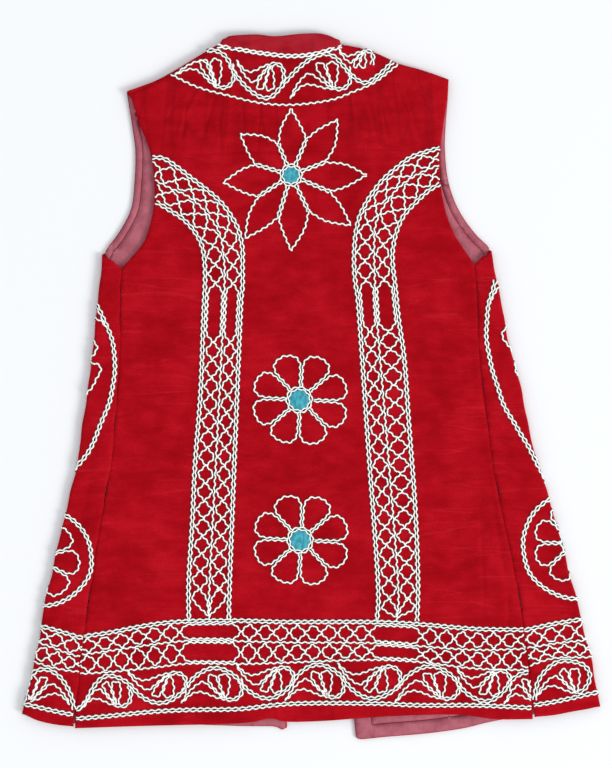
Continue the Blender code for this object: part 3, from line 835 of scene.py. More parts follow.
def strand_finish(name, colour, shade, twist, roughness):
    """A twisted strand: `cut` runs along it in metres and once round it, and the plies wind round."""
    finish = Finish(name, Roughness=roughness, Specular_IOR_Level=0.3, Sheen_Weight=0.15,
                    Sheen_Roughness=0.4)
    cut = finish.pattern_place()
    along, around = finish.parts(cut)
    plies = (along * twist + around * (2 * math.pi)).sine()
    soil = finish.noise(finish.place(), 90.0, 2.0, 0.5)
    tone = finish.mixed(finish.ranged(plies, -0.9, 0.3, 0.45, 0.0), colour, shade)
    tone = finish.mixed(finish.ranged(soil, 0.45, 0.75, 0.0, 0.35), tone, shade)
    return finish.feed(Base_Color=tone, Normal=finish.bump(plies, 0.0002, 0.6))


VELVET_CLOTH = velvet_finish("red cotton velvet", 0.0)
# The collar is painted paler, as painted sheen on its curved velvet seen at a slant.
COLLAR_CLOTH = velvet_finish("red cotton velvet of the collar", 0.28)
LINING_CLOTH = lining_finish()
PATCH_CLOTH = patch_finish()
CORD_STRAND = strand_finish("cream cord", CORD, CORD_SHADE, 2200.0, 0.55)
# The dark strands that paint the shade round the cords.
SHADE_STRAND = strand_finish("dark strand of painted shade", SHADE_STRAND_COLOUR, SHADE_STRAND_PALE, 3600.0, 0.6)


# ---------------------------------------------------------------- making meshes


def new_piece(name, material, verts, faces, pattern):
    """A mesh piece that rides on the vest. `pattern` gives each vertex its place in the cloth's pattern."""
    mesh = bpy.data.meshes.new(name)
    mesh.from_pydata(np.array(verts) * MM, [], faces)
    corners = np.zeros(len(mesh.loops), dtype=np.int64)
    mesh.loops.foreach_get("vertex_index", corners)
    mesh.uv_layers.new(name="cut").data.foreach_set("uv", (np.array(pattern) * MM)[corners].ravel())
    mesh.materials.append(material)
    mesh.shade_smooth()
    piece = bpy.data.objects.new(name, mesh)
    bpy.context.scene.collection.objects.link(piece)
    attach(piece, "root")
    return piece


def fill(outline, spacing, rows=()):
    """Points and triangles that fill a flat outline, with edges along each of the `rows`."""
    points = [outline]
    edges = []
    count = len(outline)
    held = np.zeros((0, 2))
    for row in rows:
        clear = clearances(outline, row) > ROW_MARGIN
        numbers = np.cumsum(clear) - 1 + count
        edges += [(int(numbers[i]), int(numbers[i + 1]))
                  for i in range(len(row) - 1) if clear[i] and clear[i + 1]]
        held = np.vstack((held, row[clear]))
        points.append(row[clear])
        count += int(clear.sum())
    low, high = outline.min(axis=0), outline.max(axis=0)
    levels = np.arange(low[1] + spacing / 2, high[1], spacing * math.sin(math.pi / 3))
    inner = []
    for number, y in enumerate(levels):
        x = np.arange(low[0] + spacing * (0.25 + 0.5 * (number % 2)), high[0], spacing)
        inner.append(np.column_stack((x, np.full(len(x), y))))
    inner = np.vstack(inner)
    inner = inner[clearances(outline, inner) > spacing * 0.5]
    if len(held):
        near = [np.linalg.norm(block[:, None] - held[None], axis=2).min(axis=1)
                for block in np.array_split(inner, max(1, len(inner) // 800))]
        inner = inner[np.concatenate(near) > spacing * 0.5]
    points.append(inner)
    points = [Vector(p) for p in np.vstack(points)]
    filled = delaunay_2d_cdt(points, edges, [list(range(len(outline)))], 1, 1e-5)
    return np.array([tuple(p) for p in filled[0]]), np.array(filled[2])


def make_sheet(name, material, panel, wall, spacing, rows=(), up=True):
    """A thin closed sheet in the shape of a panel. `up` says that its outer face is the upper one."""
    flat, triangles = fill(panel.outline, spacing, rows)
    clear = panel.clear(flat)
    outer = panel.place(flat, 0.0, clear)
    inner = panel.place(flat, -wall, np.maximum(clear, INNER_CLEAR))
    count = len(flat)
    edges = {}
    for a, b, c in triangles:
        for edge in ((a, b), (b, c), (c, a)):
            if edge[::-1] in edges:
                del edges[edge[::-1]]
            else:
                edges[edge] = True
    outside = [tuple(t) if up else tuple(t[::-1]) for t in triangles]
    inside = [tuple(count + i for i in t[::-1]) for t in outside]
    rim = [(b, a, a + count, b + count) if up else (a, b, b + count, a + count) for a, b in edges]
    faces = [tuple(int(i) for i in face) for face in outside + inside + rim]
    return new_piece(name, material, np.vstack((outer, inner)), faces, np.vstack((flat, flat)))


def roll_rows(side):
    """Rows of points along a front's two rolls."""
    rows = []
    levels = np.arange(-385, ROLL_TOP[side][1] + 12, ROW_STEP)
    spread = np.arange(*sorted((SHOULDER[side][0][0], SHOULDER[side][-1][0])), ROW_STEP)
    for beyond in np.linspace(0, HALF_TURN, 7):
        rows.append(np.column_stack((roll_start(side, levels) + SIGN[side] * beyond, levels)))
        rows.append(np.column_stack((spread, shoulder_start(side, spread) + beyond)))
    return rows


def crease_rows():
    """Rows of points along the narrow creases, close enough to hold their shape."""
    rows = []
    for fold in CREASES:
        turn = math.radians(fold.turn)
        along = np.arange(-1.4 * fold.reach, 1.4 * fold.reach, CREASE_STEP)
        for offset in (-1.7, -0.85, 0.0, 0.85, 1.7):
            across = offset * fold.width / 1.7 - waver(fold, along)
            rows.append(np.column_stack((fold.x + along * math.cos(turn) - across * math.sin(turn),
                                         fold.y + along * math.sin(turn) + across * math.cos(turn))))
    return rows


# ---------------------------------------------------------------- cloth pieces


def make_cloth():
    """All cloth pieces. Returns the panels that carry embroidery."""
    panels = {}
    for side in SIDES:
        panels[side] = Front(side, front_outline(side))
        front = make_sheet("velvet_front_" + side, VELVET_CLOTH, panels[side], FRONT_WALL,
                           FRONT_SPACING, roll_rows(side))
        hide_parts("front_" + side)
        inside = (("lining", lining_outline, None, 0.0),
                  ("armhole_facing", armhole_facing_outline, ARMHOLE_FACING, ARMHOLE_TURNINGS),
                  ("edge_facing", edge_facing_outline, EDGE_FACING, 0.0))
        for kind, outline, strip_width, turned in inside:
            panel = Lining(outline(side))
            piece = make_sheet("rose_" + kind + "_" + side, LINING_CLOTH, panel,
                               LINING_HIGH - LINING_LOW - 0.3, LINING_SPACING)
            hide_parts(kind + "_" + side)
    panels["back"] = Back(back_outline())
    back = make_sheet("velvet_back", VELVET_CLOTH, panels["back"], BACK_WALL, CLOTH_SPACING,
                      crease_rows())
    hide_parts("back_panel")
    panels["collar"] = CollarPanel(collar_outline())
    collar = make_sheet("velvet_collar", COLLAR_CLOTH, panels["collar"], FRONT_WALL, COLLAR_SPACING)
    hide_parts("collar")
    for kind in ("star", "middle", "lower"):
        low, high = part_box("patch_" + kind)
        middle = ((low[0] + high[0]) / 2 / MM, (low[1] + high[1]) / 2 / MM)
        panel = Patch(middle, (high[0] - low[0]) / 2 / MM)
        piece = make_sheet("turquoise_patch_" + kind, PATCH_CLOTH, panel, PATCH_WALL, PATCH_SPACING)
        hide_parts("patch_" + kind)
        panels[kind] = panel
    return panels


# ---------------------------------------------------------------- cords


class Stitching:
    """Cords laid on panels, gathered into one piece of cream cord and one of dark strands of painted shade.
    """

    def __init__(self, name):
        self.name = name
        self.cords = []
        self.threads = []

    def lay(self, panel, line, offset=0.0, sign=1, lag=0.0, closed=False, free=False):
        """Lays one cord along a flat line: it swings to one side while its dark strand of painted shade
        swings back.
        """
        line = even(line, CORD_STEP)
        run = lengths(line)
        waves = run[-1] / WAVE
        if closed:
            waves = max(1, round(waves))
        swing = sign * np.sin(2 * math.pi * waves * run / run[-1] + lag)
        aside = normals(line)
        keep = (panel.clear(line) > CORD_MARGIN) | free
        self._add(self.cords, panel, line + aside * (offset + SWAY * swing)[:, None], keep,
                  CORD_RADIUS, CORD_SIDES, CORD_LIFT + BRAID_LIFT * free)
        # The dark strand is painted shade: it swings the other way, so it shows as shadow in the notches
        # beside the cord.
        thin = slice(None, None, 2) if len(line) > 6 else slice(None)
        swung = line + aside * (offset - SHADE_STRAND_SWAY * swing)[:, None]
        self._add(self.threads, panel, swung[thin], keep[thin], SHADE_STRAND_RADIUS, SHADE_STRAND_SIDES, SHADE_STRAND_LIFT)

    def double(self, panel, line, twin=TWIN, closed=False, free=False):
        """Two cords side by side that swing in and out together, with a dark strand of painted shade between.
        """
        self.lay(panel, line, twin / 2, 1, 0.0, closed, free)
        self.lay(panel, line, -twin / 2, -1, LAG, closed, free)
        self.core(panel, line, free)

    def core(self, panel, line, free=False):
        """The dark strand of painted shade under a double line."""
        line = even(line, 3 * CORD_STEP)
        keep = (panel.clear(line) > CORD_MARGIN) | free
        self._add(self.threads, panel, line, keep, SHADE_CORE_RADIUS, SHADE_STRAND_SIDES, SHADE_CORE_LIFT)

    def _add(self, store, panel, line, keep, radius, sides, lift):
        """Splits the line where it leaves the panel, and stores a tube for each stretch."""
        bounds = np.flatnonzero(np.diff(np.concatenate(([0], keep.astype(int), [0]))))
        for start, end in zip(bounds[::2], bounds[1::2]):
            if end - start > 3:
                store.append(tube(panel, line[start:end], radius, sides, lift))

    def finish(self, slots=(("cord", CORD_STRAND), ("stitching", SHADE_STRAND))):
        # The second piece, in the slot named stitching, holds the dark strands of painted shade.
        for store, (slot, material) in zip((self.cords, self.threads), slots):
            verts, faces, pattern = [], [], []
            for points, quads, places in store:
                first = sum(len(v) for v in verts)
                verts.append(points)
                faces += [tuple(first + i for i in face) for face in quads]
                pattern.append(places)
            new_piece(slot + "_" + self.name, material, np.vstack(verts), faces, np.vstack(pattern))


def tube(panel, flat, radius, sides, lift):
    """A round strand along flat points, laid on a panel, with closed ends."""
    clear = panel.clear(flat)
    middle = panel.place(flat, lift, clear)
    up = panel.place(flat, lift + 1.0, clear) - middle
    along = np.gradient(middle, axis=0)
    across = np.cross(along, up)
    across /= np.linalg.norm(across, axis=1, keepdims=True)
    up = np.cross(across, along)
    up /= np.linalg.norm(up, axis=1, keepdims=True)
    turns = 2 * math.pi * np.arange(sides) / sides
    ring = np.cos(turns)[None, :, None] * across[:, None] + np.sin(turns)[None, :, None] * up[:, None]
    points = (middle[:, None] + radius * ring).reshape(-1, 3)
    count = len(flat)
    quads = []
    for i in range(count - 1):
        for k in range(sides):
            after = (k + 1) % sides
            quads.append((i * sides + k, i * sides + after, (i + 1) * sides + after, (i + 1) * sides + k))
    quads.append(tuple(reversed(range(sides))))
    quads.append(tuple((count - 1) * sides + k for k in range(sides)))
    run = lengths(middle)
    places = np.column_stack((np.repeat(run, sides), np.tile(np.arange(sides) / sides / MM, count)))
    return points, quads, places


# ---------------------------------------------------------------- embroidery: shared motifs


def between(first, second, share):
    """A line part of the way from one line to another, matched by their lengths."""
    count = max(len(first), len(second), 200)
    first, second = (even_count(line, count) for line in (first, second))
    return first + share * (second - first)


def crossings(line, spacing, axis, plain):
    """Distances along a lane at which its two cords cross: even, but none in the `plain` stretches."""
    run = lengths(line)
    stops = [spacing * 0.4]
    for low, high in plain:
        inside = run[(line[:, axis] > low) & (line[:, axis] < high)]
        stops += [inside.min(), inside.max()]
    stops.append(run[-1] - spacing * 0.1)
    found = [np.linspace(start, end, max(2, round((end - start) / spacing) + 1))
             for start, end in zip(stops[::2], stops[1::2])]
    return np.concatenate(found)


def distances(points, line):
    """Distance from each point to the nearest point of a line."""
    return np.linalg.norm(points[:, None] - line[None], axis=2).min(axis=1)


def turned_left(line, other):
    """Whether another line lies to the left of a line."""
    half = len(line) // 2
    nearest = other[np.linalg.norm(other - line[half], axis=1).argmin()]
    return (nearest - line[half]) @ normals(line)[half] > 0


def lattice(stitching, panel, low, high, spacing, axis=0, plain=(), insets=(LANE_INSET, LINE_INSET)):
    """Two cords that cross again and again in the lane between two lines, and touch them in between.

    `insets` are the distances they keep from the middles of the low and the high line.
    """
    middle = even(between(low, high, 0.5), CORD_STEP)
    for _ in range(2):
        toward_high = 1 if turned_left(middle, high) else -1
        off = (distances(middle, high) - insets[1]) - (distances(middle, low) - insets[0])
        middle = middle + normals(middle) * (toward_high * off / 2)[:, None]
    reach = normals(middle) * (distances(middle, low) - insets[0])[:, None]
    middle_run = lengths(middle)
    places = crossings(middle, spacing, axis, plain)
    nearest = np.abs(middle_run[:, None] - places[None]).min(axis=1)
    bulge = 1 - (1 - np.minimum(nearest / (spacing / 2), 1.0)) ** 1.3
    side = np.where(np.searchsorted(places, middle_run) % 2 == 0, 1, -1)
    for sign in (1, -1):
        stitching.lay(panel, middle + (sign * side * bulge)[:, None] * reach, sign=sign)


def lay_hem_lines(stitching, panel, lines):
    """The hem band's four lines: the top and bottom ones are double."""
    stitching.double(panel, lines["top"])
    stitching.lay(panel, lines["middle"])
    stitching.lay(panel, lines["lower"])
    stitching.double(panel, lines["bottom"])


def weave_hem(stitching, panel, lines, spacing, plain=()):
    """The hem band's two rows of lattice."""
    lattice(stitching, panel, lines["top"], lines["middle"], spacing, 0, plain)
    lattice(stitching, panel, lines["middle"], lines["lower"], spacing, 0, plain,
            (LINE_INSET, LINE_INSET))


def vine_line(turns):
    """A wave through its crests and troughs, broad at each and steep between."""
    line = []
    for (x0, y0), (x1, y1) in zip(turns, turns[1:]):
        for share in np.arange(12) / 12:
            lean = math.cos(math.pi * share)
            ease = 0.5 - 0.5 * math.copysign(abs(lean) ** 0.8, lean)
            line.append((x0 + (x1 - x0) * share, y0 + (y1 - y0) * ease))
    return smooth_line(line + [turns[-1]], MOTIF_STEP)


# The fan: two narrow loops and a pointed leaf from a base at (0, 0), and the stem that curls to it
# from the vine. These are its places in a half wave 57 long and 37 high.
FAN_STEM = [(15.5, 23.5), (17.8, 14.0), (16.0, 4.0), (8.5, -1.0), (0, 0)]
FAN_LOOPS = [
    [(-1, 1), (-10.4, 10.8), (-17.0, 20.5), (-18.0, 25.5), (-13.5, 28.0), (-9.2, 24.0), (-5.4, 12.5), (0, 1)],
    [(0, 1), (-4.0, 12.5), (-6.8, 23.5), (-3.5, 28.6), (3.8, 26.0), (4.4, 14.0), (1.4, 1)],
]
FAN_LEAF = [
    [(-46, -5), (-41.0, 4.0), (-33.0, 13.6), (-24.0, 19.6), (-17.4, 15.5), (-11.0, 9.0), (-1, 0)],
    [(-46, -5), (-36.5, 4.6), (-27.8, 8.0), (-19.0, 5.8), (-10.0, 1.8), (0, -1)],
]


def fan(stitching, panel, base, width=1.0, height=1.0, leaf_turn=0.0, stem=True):
    """The fan motif with its base at a point: a width or height below 0 turns it over."""
    def laid(points, turn=0.0):
        cos, sin = math.cos(math.radians(turn)), math.sin(math.radians(turn))
        sized = [(x * width, y * height) for x, y in points]
        placed = [(base[0] + x * cos - y * sin, base[1] + x * sin + y * cos) for x, y in sized]
        return smooth_line(placed, MOTIF_STEP)

    if stem:
        stitching.double(panel, laid(FAN_STEM), TWIST)
    for loop in FAN_LOOPS:
        stitching.lay(panel, laid(loop))
    for edge in FAN_LEAF:
        stitching.lay(panel, laid(edge, leaf_turn))


def vine_fans(stitching, panel, turns):
    """A fan inside each half wave of a vine."""
    for before, (x, y), after in zip(turns, turns[1:], turns[2:]):
        up = 1 if y > before[1] else -1
        rise = (abs(y - before[1]) + abs(y - after[1])) / 2
        width = (after[0] - before[0]) / 114
        fan(stitching, panel, (x + 10.5 * width, y - up * 0.94 * rise), width, up * rise / 38)


# ---------------------------------------------------------------- embroidery: the back

# The two upright bands: their lines run from the armhole down to the hem band.
BANDS = {
    "left": {
        "inner": [(-176, 252), (-163, 251), (-150, 243), (-133, 230), (-116, 217), (-100, 203),
                  (-88, 187), (-80, 171), (-76, 151), (-76, 131), (-76, 109), (-78, 84), (-84, -60),
                  (-90, -213), (-91, -257)],
        "centre": [(-172, 227), (-155, 218), (-139, 211), (-125, 201), (-111, 185), (-101, 168), (-97, 145),
                   (-96, 103), (-104, -60), (-112, -213), (-113, -257)],
        "outer": [(-171, 203), (-156, 194), (-141, 184), (-129, 171), (-121, 156), (-118, 141), (-117, 118),
                  (-119, 73), (-122, -6), (-128, -84), (-131, -147), (-135, -213), (-135, -257)],
    },
    "right": {
        "inner": [(143, 263), (125, 258), (109, 252), (94, 241), (79, 228), (65, 210), (54, 190), (49, 171),
                  (47, 149), (47, 128), (49, 109), (52, 84), (62, -60), (73, -213), (72, -258)],
        "centre": [(141, 244), (126, 238), (109, 229), (94, 217), (80, 199), (71, 180), (69, 160),
                   (69, 138), (70, 109), (73, 60), (83, -60), (95, -213), (94, -258)],
        "outer": [(141, 223), (128, 215), (115, 203), (102, 189), (94, 172), (90, 155), (89, 138),
                  (92, 111), (96, 73), (102, 30), (107, -40), (114, -134), (117, -213), (116, -258)],
    },
}
BAND_PLAIN = {"left": [(48, 114)], "right": [(60, 118)]}
BAND_WOVEN_TO = {"left": -226.0, "right": -236.5}    # below this the lattice closes to a point


def embroider_band(side, back):
    band = Stitching("band_" + side)
    lines = {name: smooth_line(points, LINE_STEP) for name, points in BANDS[side].items()}
    band.double(back, lines["inner"])
    band.double(back, lines["outer"])
    band.lay(back, lines["centre"])
    foot = lines["centre"][-1]
    woven = {name: line[line[:, 1] > BAND_WOVEN_TO[side]] for name, line in lines.items()}
    for edge in ("inner", "outer"):
        lattice(band, back, woven[edge], woven["centre"], BAND_WEAVE, 1, BAND_PLAIN[side])
        start = woven["centre"][-1]
        beside = woven[edge][-1] - start
        for reach in (0.80, 0.14):
            band.lay(back, smooth_line([start + beside * 0.5 + (0, 2), start + beside * reach + (0, -9),
                                        foot + (0, 4)], MOTIF_STEP))
    band.finish()


# The star's eight petals: direction in degrees and length, then the join before each.
Petal = namedtuple("Petal", "turn length join_turn join")
STAR_PETALS = [
    Petal(90, 73, 112, 37), Petal(50, 80, 67, 43), Petal(0, 83, 21, 40), Petal(-40, 86, -23, 46),
    Petal(-90, 83, -64, 44), Petal(-126, 86, -107, 48), Petal(-174, 75, -147, 43), Petal(-219, 72, -197, 41),
]


def polar(middle, turn, radius):
    angle = math.radians(turn)
    return np.array((middle[0] + radius * math.cos(angle), middle[1] + radius * math.sin(angle)))


def embroider_star(back, patch):
    """Eight pointed petals round a ring. Neighbours share a double line near the ring."""
    star = Stitching("star")
    middle = patch.middle
    ring = patch.radius + 1.6
    star.double(back, round_line(middle, ring), TWIST, closed=True)
    joins = [polar(middle, petal.join_turn, petal.join) for petal in STAR_PETALS]
    for i, petal in enumerate(STAR_PETALS):
        root = polar(middle, petal.join_turn, ring + 1.5)
        star.double(back, smooth_line([root, joins[i]], MOTIF_STEP), TWIST)
        tip = polar(middle, petal.turn, petal.length)
        for k in (i, (i + 1) % len(joins)):
            swing = (STAR_PETALS[k].join_turn - petal.turn + 180) % 360 - 180
            shoulder = polar(middle, petal.turn + swing * 0.52, petal.length * 0.74)
            star.lay(back, smooth_line([joins[k], shoulder, tip], MOTIF_STEP))
    star.finish()


def lay_petals(stitching, panel, middle, low, reach, turn, fold=None):
    """Eight round petals side by side, from the radius `low` out to `reach`."""
    for k in range(8):
        before, after = 45 * k + turn, 45 * (k + 1) + turn
        grown = reach * (1 + 0.015 * math.sin(5 * k + turn))
        flank = [(low, 0), (low + 0.42 * (reach - low), 0), (0.76 * reach, 0.6), (0.86 * reach, 2.8),
                 (0.96 * reach, 8.5)]
        rising = [polar(middle, before + more + math.degrees(TWIST / 2 / r), r) for r, more in flank]
        falling = [polar(middle, after - more - math.degrees(TWIST / 2 / r), r) for r, more in flank]
        line = smooth_line(rising + [polar(middle, (before + after) / 2, grown)] + falling[::-1], MOTIF_STEP)
        stitching.lay(panel, fold(line) if fold else line, sign=1 if k % 2 else -1)
        # A dark strand of painted shade runs out between each two neighbouring petals.
        spoke = smooth_line([polar(middle, before, low), polar(middle, before, 0.76 * reach)], 3.0)
        spoke = fold(spoke) if fold else spoke
        stitching.core(panel, spoke)


FLOWER_REACH = 50.5
FLOWER_STRETCH = (1.055, 0.99)
FLOWER_SHIFT = (0.9, 0.0)


def embroider_flower(name, back, patch):
    """Eight round petals round a ring, with double lines between them."""
    flower = Stitching("flower_" + name)
    middle = patch.middle
    ring = patch.radius + 1.8
    flower.double(back, round_line(middle, ring), TWIST, closed=True)
    lay_petals(flower, back, middle, ring + 1.5, FLOWER_REACH, -2.5,
               lambda line: middle + FLOWER_SHIFT + (line - middle) * FLOWER_STRETCH)
    flower.finish()


NECK_EDGE = [(-158.5, 345.5), (-127, 330), (-91, 320), (-56, 312), (-20, 310), (20, 315), (45, 324),
             (70, 335), (97, 356)]
NECK_VINE = [(-119, 366.5), (-111, 369.8), (-103.5, 368.8), (-96, 364.5), (-90.5, 357), (-87, 348.5),
             (-77, 335), (-68, 326), (-60, 320.5), (-54, 318), (-48, 317.6), (-41, 321), (-35, 328),
             (-18, 346.8), (-9, 354.8), (-1, 360.4), (8, 364.6), (15.5, 366), (23, 363.8), (29, 359.8),
             (39, 348), (47, 340), (54, 335.2), (60, 334.3), (66, 336.7), (78, 346), (89, 357), (93, 360)]
NECK_BRAID = [(-103.5, 374.6), (-90, 372.6), (-77, 370.4), (-60, 367.4), (-43, 365.2), (-26.5, 363.6),
              (-9.7, 364.0), (4, 366.2), (17, 369.6), (33, 374.4)]
NeckFan = namedtuple("NeckFan", "base width height leaf_turn")
NECK_FANS = [
    NeckFan((-104, 330.0), 1.03, 1.06, -22.0),
    NeckFan((-45, 354.0), 0.82, -0.98, 0.0),
    NeckFan((24, 328.3), 1.05, 1.0, 8.0),
    NeckFan((57, 368.6), 0.60, -0.62, 0.0),
]


def embroider_neck(back):
    """The neck band: braid over the collar's seam, a vine with fans, and a single lower line."""
    neck = Stitching("neck")
    neck.double(back, smooth_line(NECK_BRAID, LINE_STEP), free=True)
    neck.lay(back, smooth_line(NECK_EDGE, LINE_STEP))
    neck.double(back, smooth_line(NECK_VINE, LINE_STEP))
    for motif in NECK_FANS:
        fan(neck, back, motif.base, motif.width, motif.height, motif.leaf_turn)
    neck.finish()


# The hem band's lines across the back: x, then each line's y.
HemLine = namedtuple("HemLine", "x top middle lower bottom")
HEM_BAND = [HemLine(*row) for row in (
    (-262, -276, -296, -316, -365.5), (-225, -271, -291, -314, -362.5),
    (-174, -261.5, -283.5, -309, -357.5), (-133, -258, -279.5, -304.5, -355.5),
    (-78, -257.5, -280, -305, -354.5), (-24, -259, -281.5, -303.5, -349), (67, -259, -282, -300.5, -348.5),
    (120, -261.5, -285.5, -303, -350.5), (180, -266.5, -289.5, -310, -350.5),
    (246, -267.5, -288, -312, -353.5),
)]
HEM_PLAIN = [(-146, -77), (63, 122)]
HEM_VINE = [(-264, -357), (-223, -318), (-167, -348), (-106, -309.5), (-48, -343), (7, -306),
            (67, -343), (131, -307.5), (192, -346), (237, -314.5), (272, -348)]


def embroider_hem(back):
    """The hem band across the back: two rows of lattice over a vine with fans."""
    hem = Stitching("hem")
    lines = {name: smooth_line([(row.x, getattr(row, name)) for row in HEM_BAND], LINE_STEP)
             for name in ("top", "middle", "lower", "bottom")}
    lay_hem_lines(hem, back, lines)
    weave_hem(hem, back, lines, BACK_WEAVE, HEM_PLAIN)
    vine = Stitching("vine")
    vine.double(back, vine_line(HEM_VINE))
    vine_fans(vine, back, HEM_VINE)
    hem.finish()
    vine.finish()


# ---------------------------------------------------------------- embroidery: the fronts

# The fronts' hem band and medallions are placed as they would lie if the front's upper face ran on
# flat past its rolled edge. `developed` then folds what lies past it round to the under side.
FRONT_BAND = {
    "left": {
        "top": [(-247, -278), (-262, -274), (-278, -269), (-298, -263.5), (-318, -260), (-345, -258)],
        "middle": [(-250, -298), (-266, -294), (-282, -288), (-302, -281.5), (-324, -278), (-350, -276)],
        "lower": [(-253, -314), (-270, -312), (-288, -308), (-306, -302.5), (-326, -299), (-354, -297)],
        "bottom": [(-257, -361.5), (-272, -359), (-290, -355), (-314, -349.5), (-334, -347), (-360, -345)],
        "vine": [(-260.5, -355), (-263.5, -342.5), (-268.5, -332), (-277, -320), (-286, -313), (-293, -311),
                 (-301.5, -312), (-308.5, -317.5), (-312.8, -327), (-314, -337.5), (-315.5, -347)],
    },
    "right": {
        "top": [(229, -269), (248, -265), (266, -261), (297, -256), (318, -254), (345, -252)],
        "middle": [(231, -288), (250, -285.5), (268, -282.5), (300, -279), (322, -277), (350, -276)],
        "lower": [(236, -309), (246, -304.5), (268, -298.5), (305, -297.5), (326, -296), (354, -295)],
        "bottom": [(242, -350.5), (262, -347.5), (284, -343), (313, -336.5), (334, -334), (360, -332)],
        "vine": [(245, -344.5), (247, -333.5), (250.5, -323), (257.5, -312.5), (266.5, -304.5),
                 (277, -301.5), (289.5, -302.8), (300, -307), (306.5, -316), (305, -326.5), (298, -334.5),
                 (291, -336.5)],
    },
}
FRONT_FANS = {"left": ((-309, -345), -0.95, 0.92), "right": ((291, -336.5), 0.95, 0.92)}
ALMOND = {
    "left": [(-236, 90), (-229.5, 77), (-223, 61), (-218.5, 44), (-216.5, 26), (-217.5, 5), (-221, -13),
             (-228.5, -34), (-236, -52), (-246, -72), (-259, -88), (-276, -104)],
    "right": [(202, 117), (194, 88), (192.5, 64), (195, 38), (201, 11), (211, -19), (226, -46), (238, -64),
              (246, -80), (260, -106)],
}
ALMOND_BRANCH = {"left": [(-239, 76), (-231, 72), (-225, 65)], "right": [(207, 112), (201, 103), (196, 92)]}
ALMOND_BUD = {
    "left": [[(-241, 51), (-236.4, 44), (-239, 36), (-244, 30)],
             [(-245, 27), (-233.7, 23.5), (-232.4, 16.6), (-236.3, 9), (-240.2, 0), (-248, -9)]],
    "right": [[(219, 69), (211.5, 62), (211, 54), (217, 45), (223, 38)],
              [(226, 30), (224, 22), (226, 12)]],
}
ROSETTE_RING = 12.5
# Each round medallion's middle and radius, then its flower's middle, reach and turn.
Rosette = namedtuple("Rosette", "middle radius flower reach turn")
ROSETTES = {
    "left": Rosette((-294.5, -188.5), 52.5, (-303, -190), 47, 17.5),
    "right": Rosette((291.5, -174.5), 59, (288, -172), 43.5, 0.0),
}


class FoldedOver:
    """A front on which lines are placed as if its upper face ran on past its rolled edge."""

    def __init__(self, side, front):
        self.side = side
        self.front = front

    def clear(self, line):
        return self.front.clear(developed(self.side, line))

    def place(self, line, lift, clear=None):
        return self.front.place(developed(self.side, line), lift, clear)


def embroider_medallions(side, over, stitching):
    """An almond shape with a branch and buds, and a round medallion with a flower."""
    stitching.double(over, smooth_line(ALMOND[side], LINE_STEP), TWIST)
    stitching.lay(over, smooth_line(ALMOND_BRANCH[side], MOTIF_STEP))
    for bud in ALMOND_BUD[side]:
        stitching.lay(over, smooth_line(bud, MOTIF_STEP))
    rosette = ROSETTES[side]
    stitching.double(over, round_line(rosette.middle, rosette.radius, 90), TWIST, closed=True)
    stitching.double(over, round_line(rosette.flower, ROSETTE_RING), TWIST, closed=True)
    lay_petals(stitching, over, rosette.flower, ROSETTE_RING + 1.5, rosette.reach, rosette.turn)


def embroider_front(side, front):
    """A front's part of the hem band, and its two medallions, cut by the rolled edge."""
    stitching = Stitching("front_" + side)
    over = FoldedOver(side, front)
    lines = {name: smooth_line(points, LINE_STEP) for name, points in FRONT_BAND[side].items()}
    lay_hem_lines(stitching, over, lines)
    stitching.double(over, lines["vine"])
    weave_hem(stitching, over, lines, FRONT_WEAVE)
    base, width, height = FRONT_FANS[side]
    fan(stitching, over, base, width, height, stem=False)
    embroider_medallions(side, over, stitching)
    stitching.finish()


# ---------------------------------------------------------------- floor, light and camera

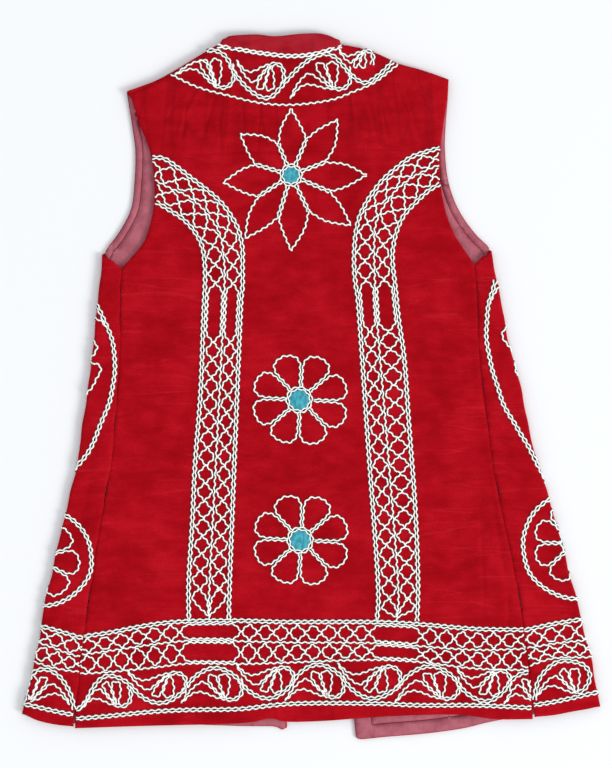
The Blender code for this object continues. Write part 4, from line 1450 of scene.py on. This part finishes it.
FLOOR_COLOUR = (0.775, 0.787, 0.808, 1.0)
FLOOR_DROP = 0.0002           # metres
LAMP_PLACE = (9.0, -4.5, 6.6)
LAMP_SIZE = 4.8
LAMP_WATTS = 960.0
LAMP_COLOUR = (1.0, 0.985, 0.965)
SKY_COLOUR = (0.97, 0.985, 1.0, 1.0)
SKY_STRENGTH = 0.915
CAMERA_MIDDLE = (-0.0060, 0.0028)
CAMERA_HEIGHT = 3.0
SEEN_WIDTH = 0.6732           # metres that the camera sees across, at the vest's upper face
SENSOR_WIDTH = 36.0


def make_stage():
    """A pale floor, a large soft lamp up and to the right, and an even pale sky."""
    bpy.ops.mesh.primitive_plane_add(size=8.0, location=(0, 0, -FLOOR_DROP))
    floor = bpy.context.object
    floor.name = "floor"
    finish = Finish("pale floor", Base_Color=FLOOR_COLOUR, Roughness=0.9, Specular_IOR_Level=0.1)
    floor.data.materials.append(finish.material)
    lamp = bpy.data.lights.new("key", "AREA")
    lamp.shape = "DISK"
    lamp.size = LAMP_SIZE
    lamp.energy = LAMP_WATTS
    lamp.color = LAMP_COLOUR
    key = bpy.data.objects.new("key", lamp)
    key.location = LAMP_PLACE
    key.rotation_euler = (Vector((0, 0, 0)) - key.location).to_track_quat("-Z", "Y").to_euler()
    bpy.context.scene.collection.objects.link(key)
    world = bpy.data.worlds.new("even sky")
    world.use_nodes = True
    background = world.node_tree.nodes["Background"]
    background.inputs["Color"].default_value = SKY_COLOUR
    background.inputs["Strength"].default_value = SKY_STRENGTH
    bpy.context.scene.world = world
    bpy.context.scene.view_settings.view_transform = "Standard"


def make_camera():
    """Straight down, from far enough to look flat."""
    camera = bpy.data.cameras.new("camera")
    camera.sensor_fit = "HORIZONTAL"
    camera.sensor_width = SENSOR_WIDTH
    camera.lens = SENSOR_WIDTH * (CAMERA_HEIGHT - TOP * MM) / SEEN_WIDTH
    camera.clip_end = 20.0
    view = bpy.data.objects.new("camera", camera)
    view.location = (*CAMERA_MIDDLE, CAMERA_HEIGHT)
    bpy.context.scene.collection.objects.link(view)
    bpy.context.scene.camera = view


# ---------------------------------------------------------------- the whole vest


def main():
    bpy.ops.object.select_all(action="DESELECT")
    make_camera()
    make_stage()
    panels = make_cloth()
    for side in SIDES:
        embroider_band(side, panels["back"])
        embroider_front(side, panels[side])
    embroider_star(panels["back"], panels["star"])
    for name in ("middle", "lower"):
        embroider_flower(name, panels["back"], panels[name])
    embroider_neck(panels["back"])
    embroider_hem(panels["back"])


main()
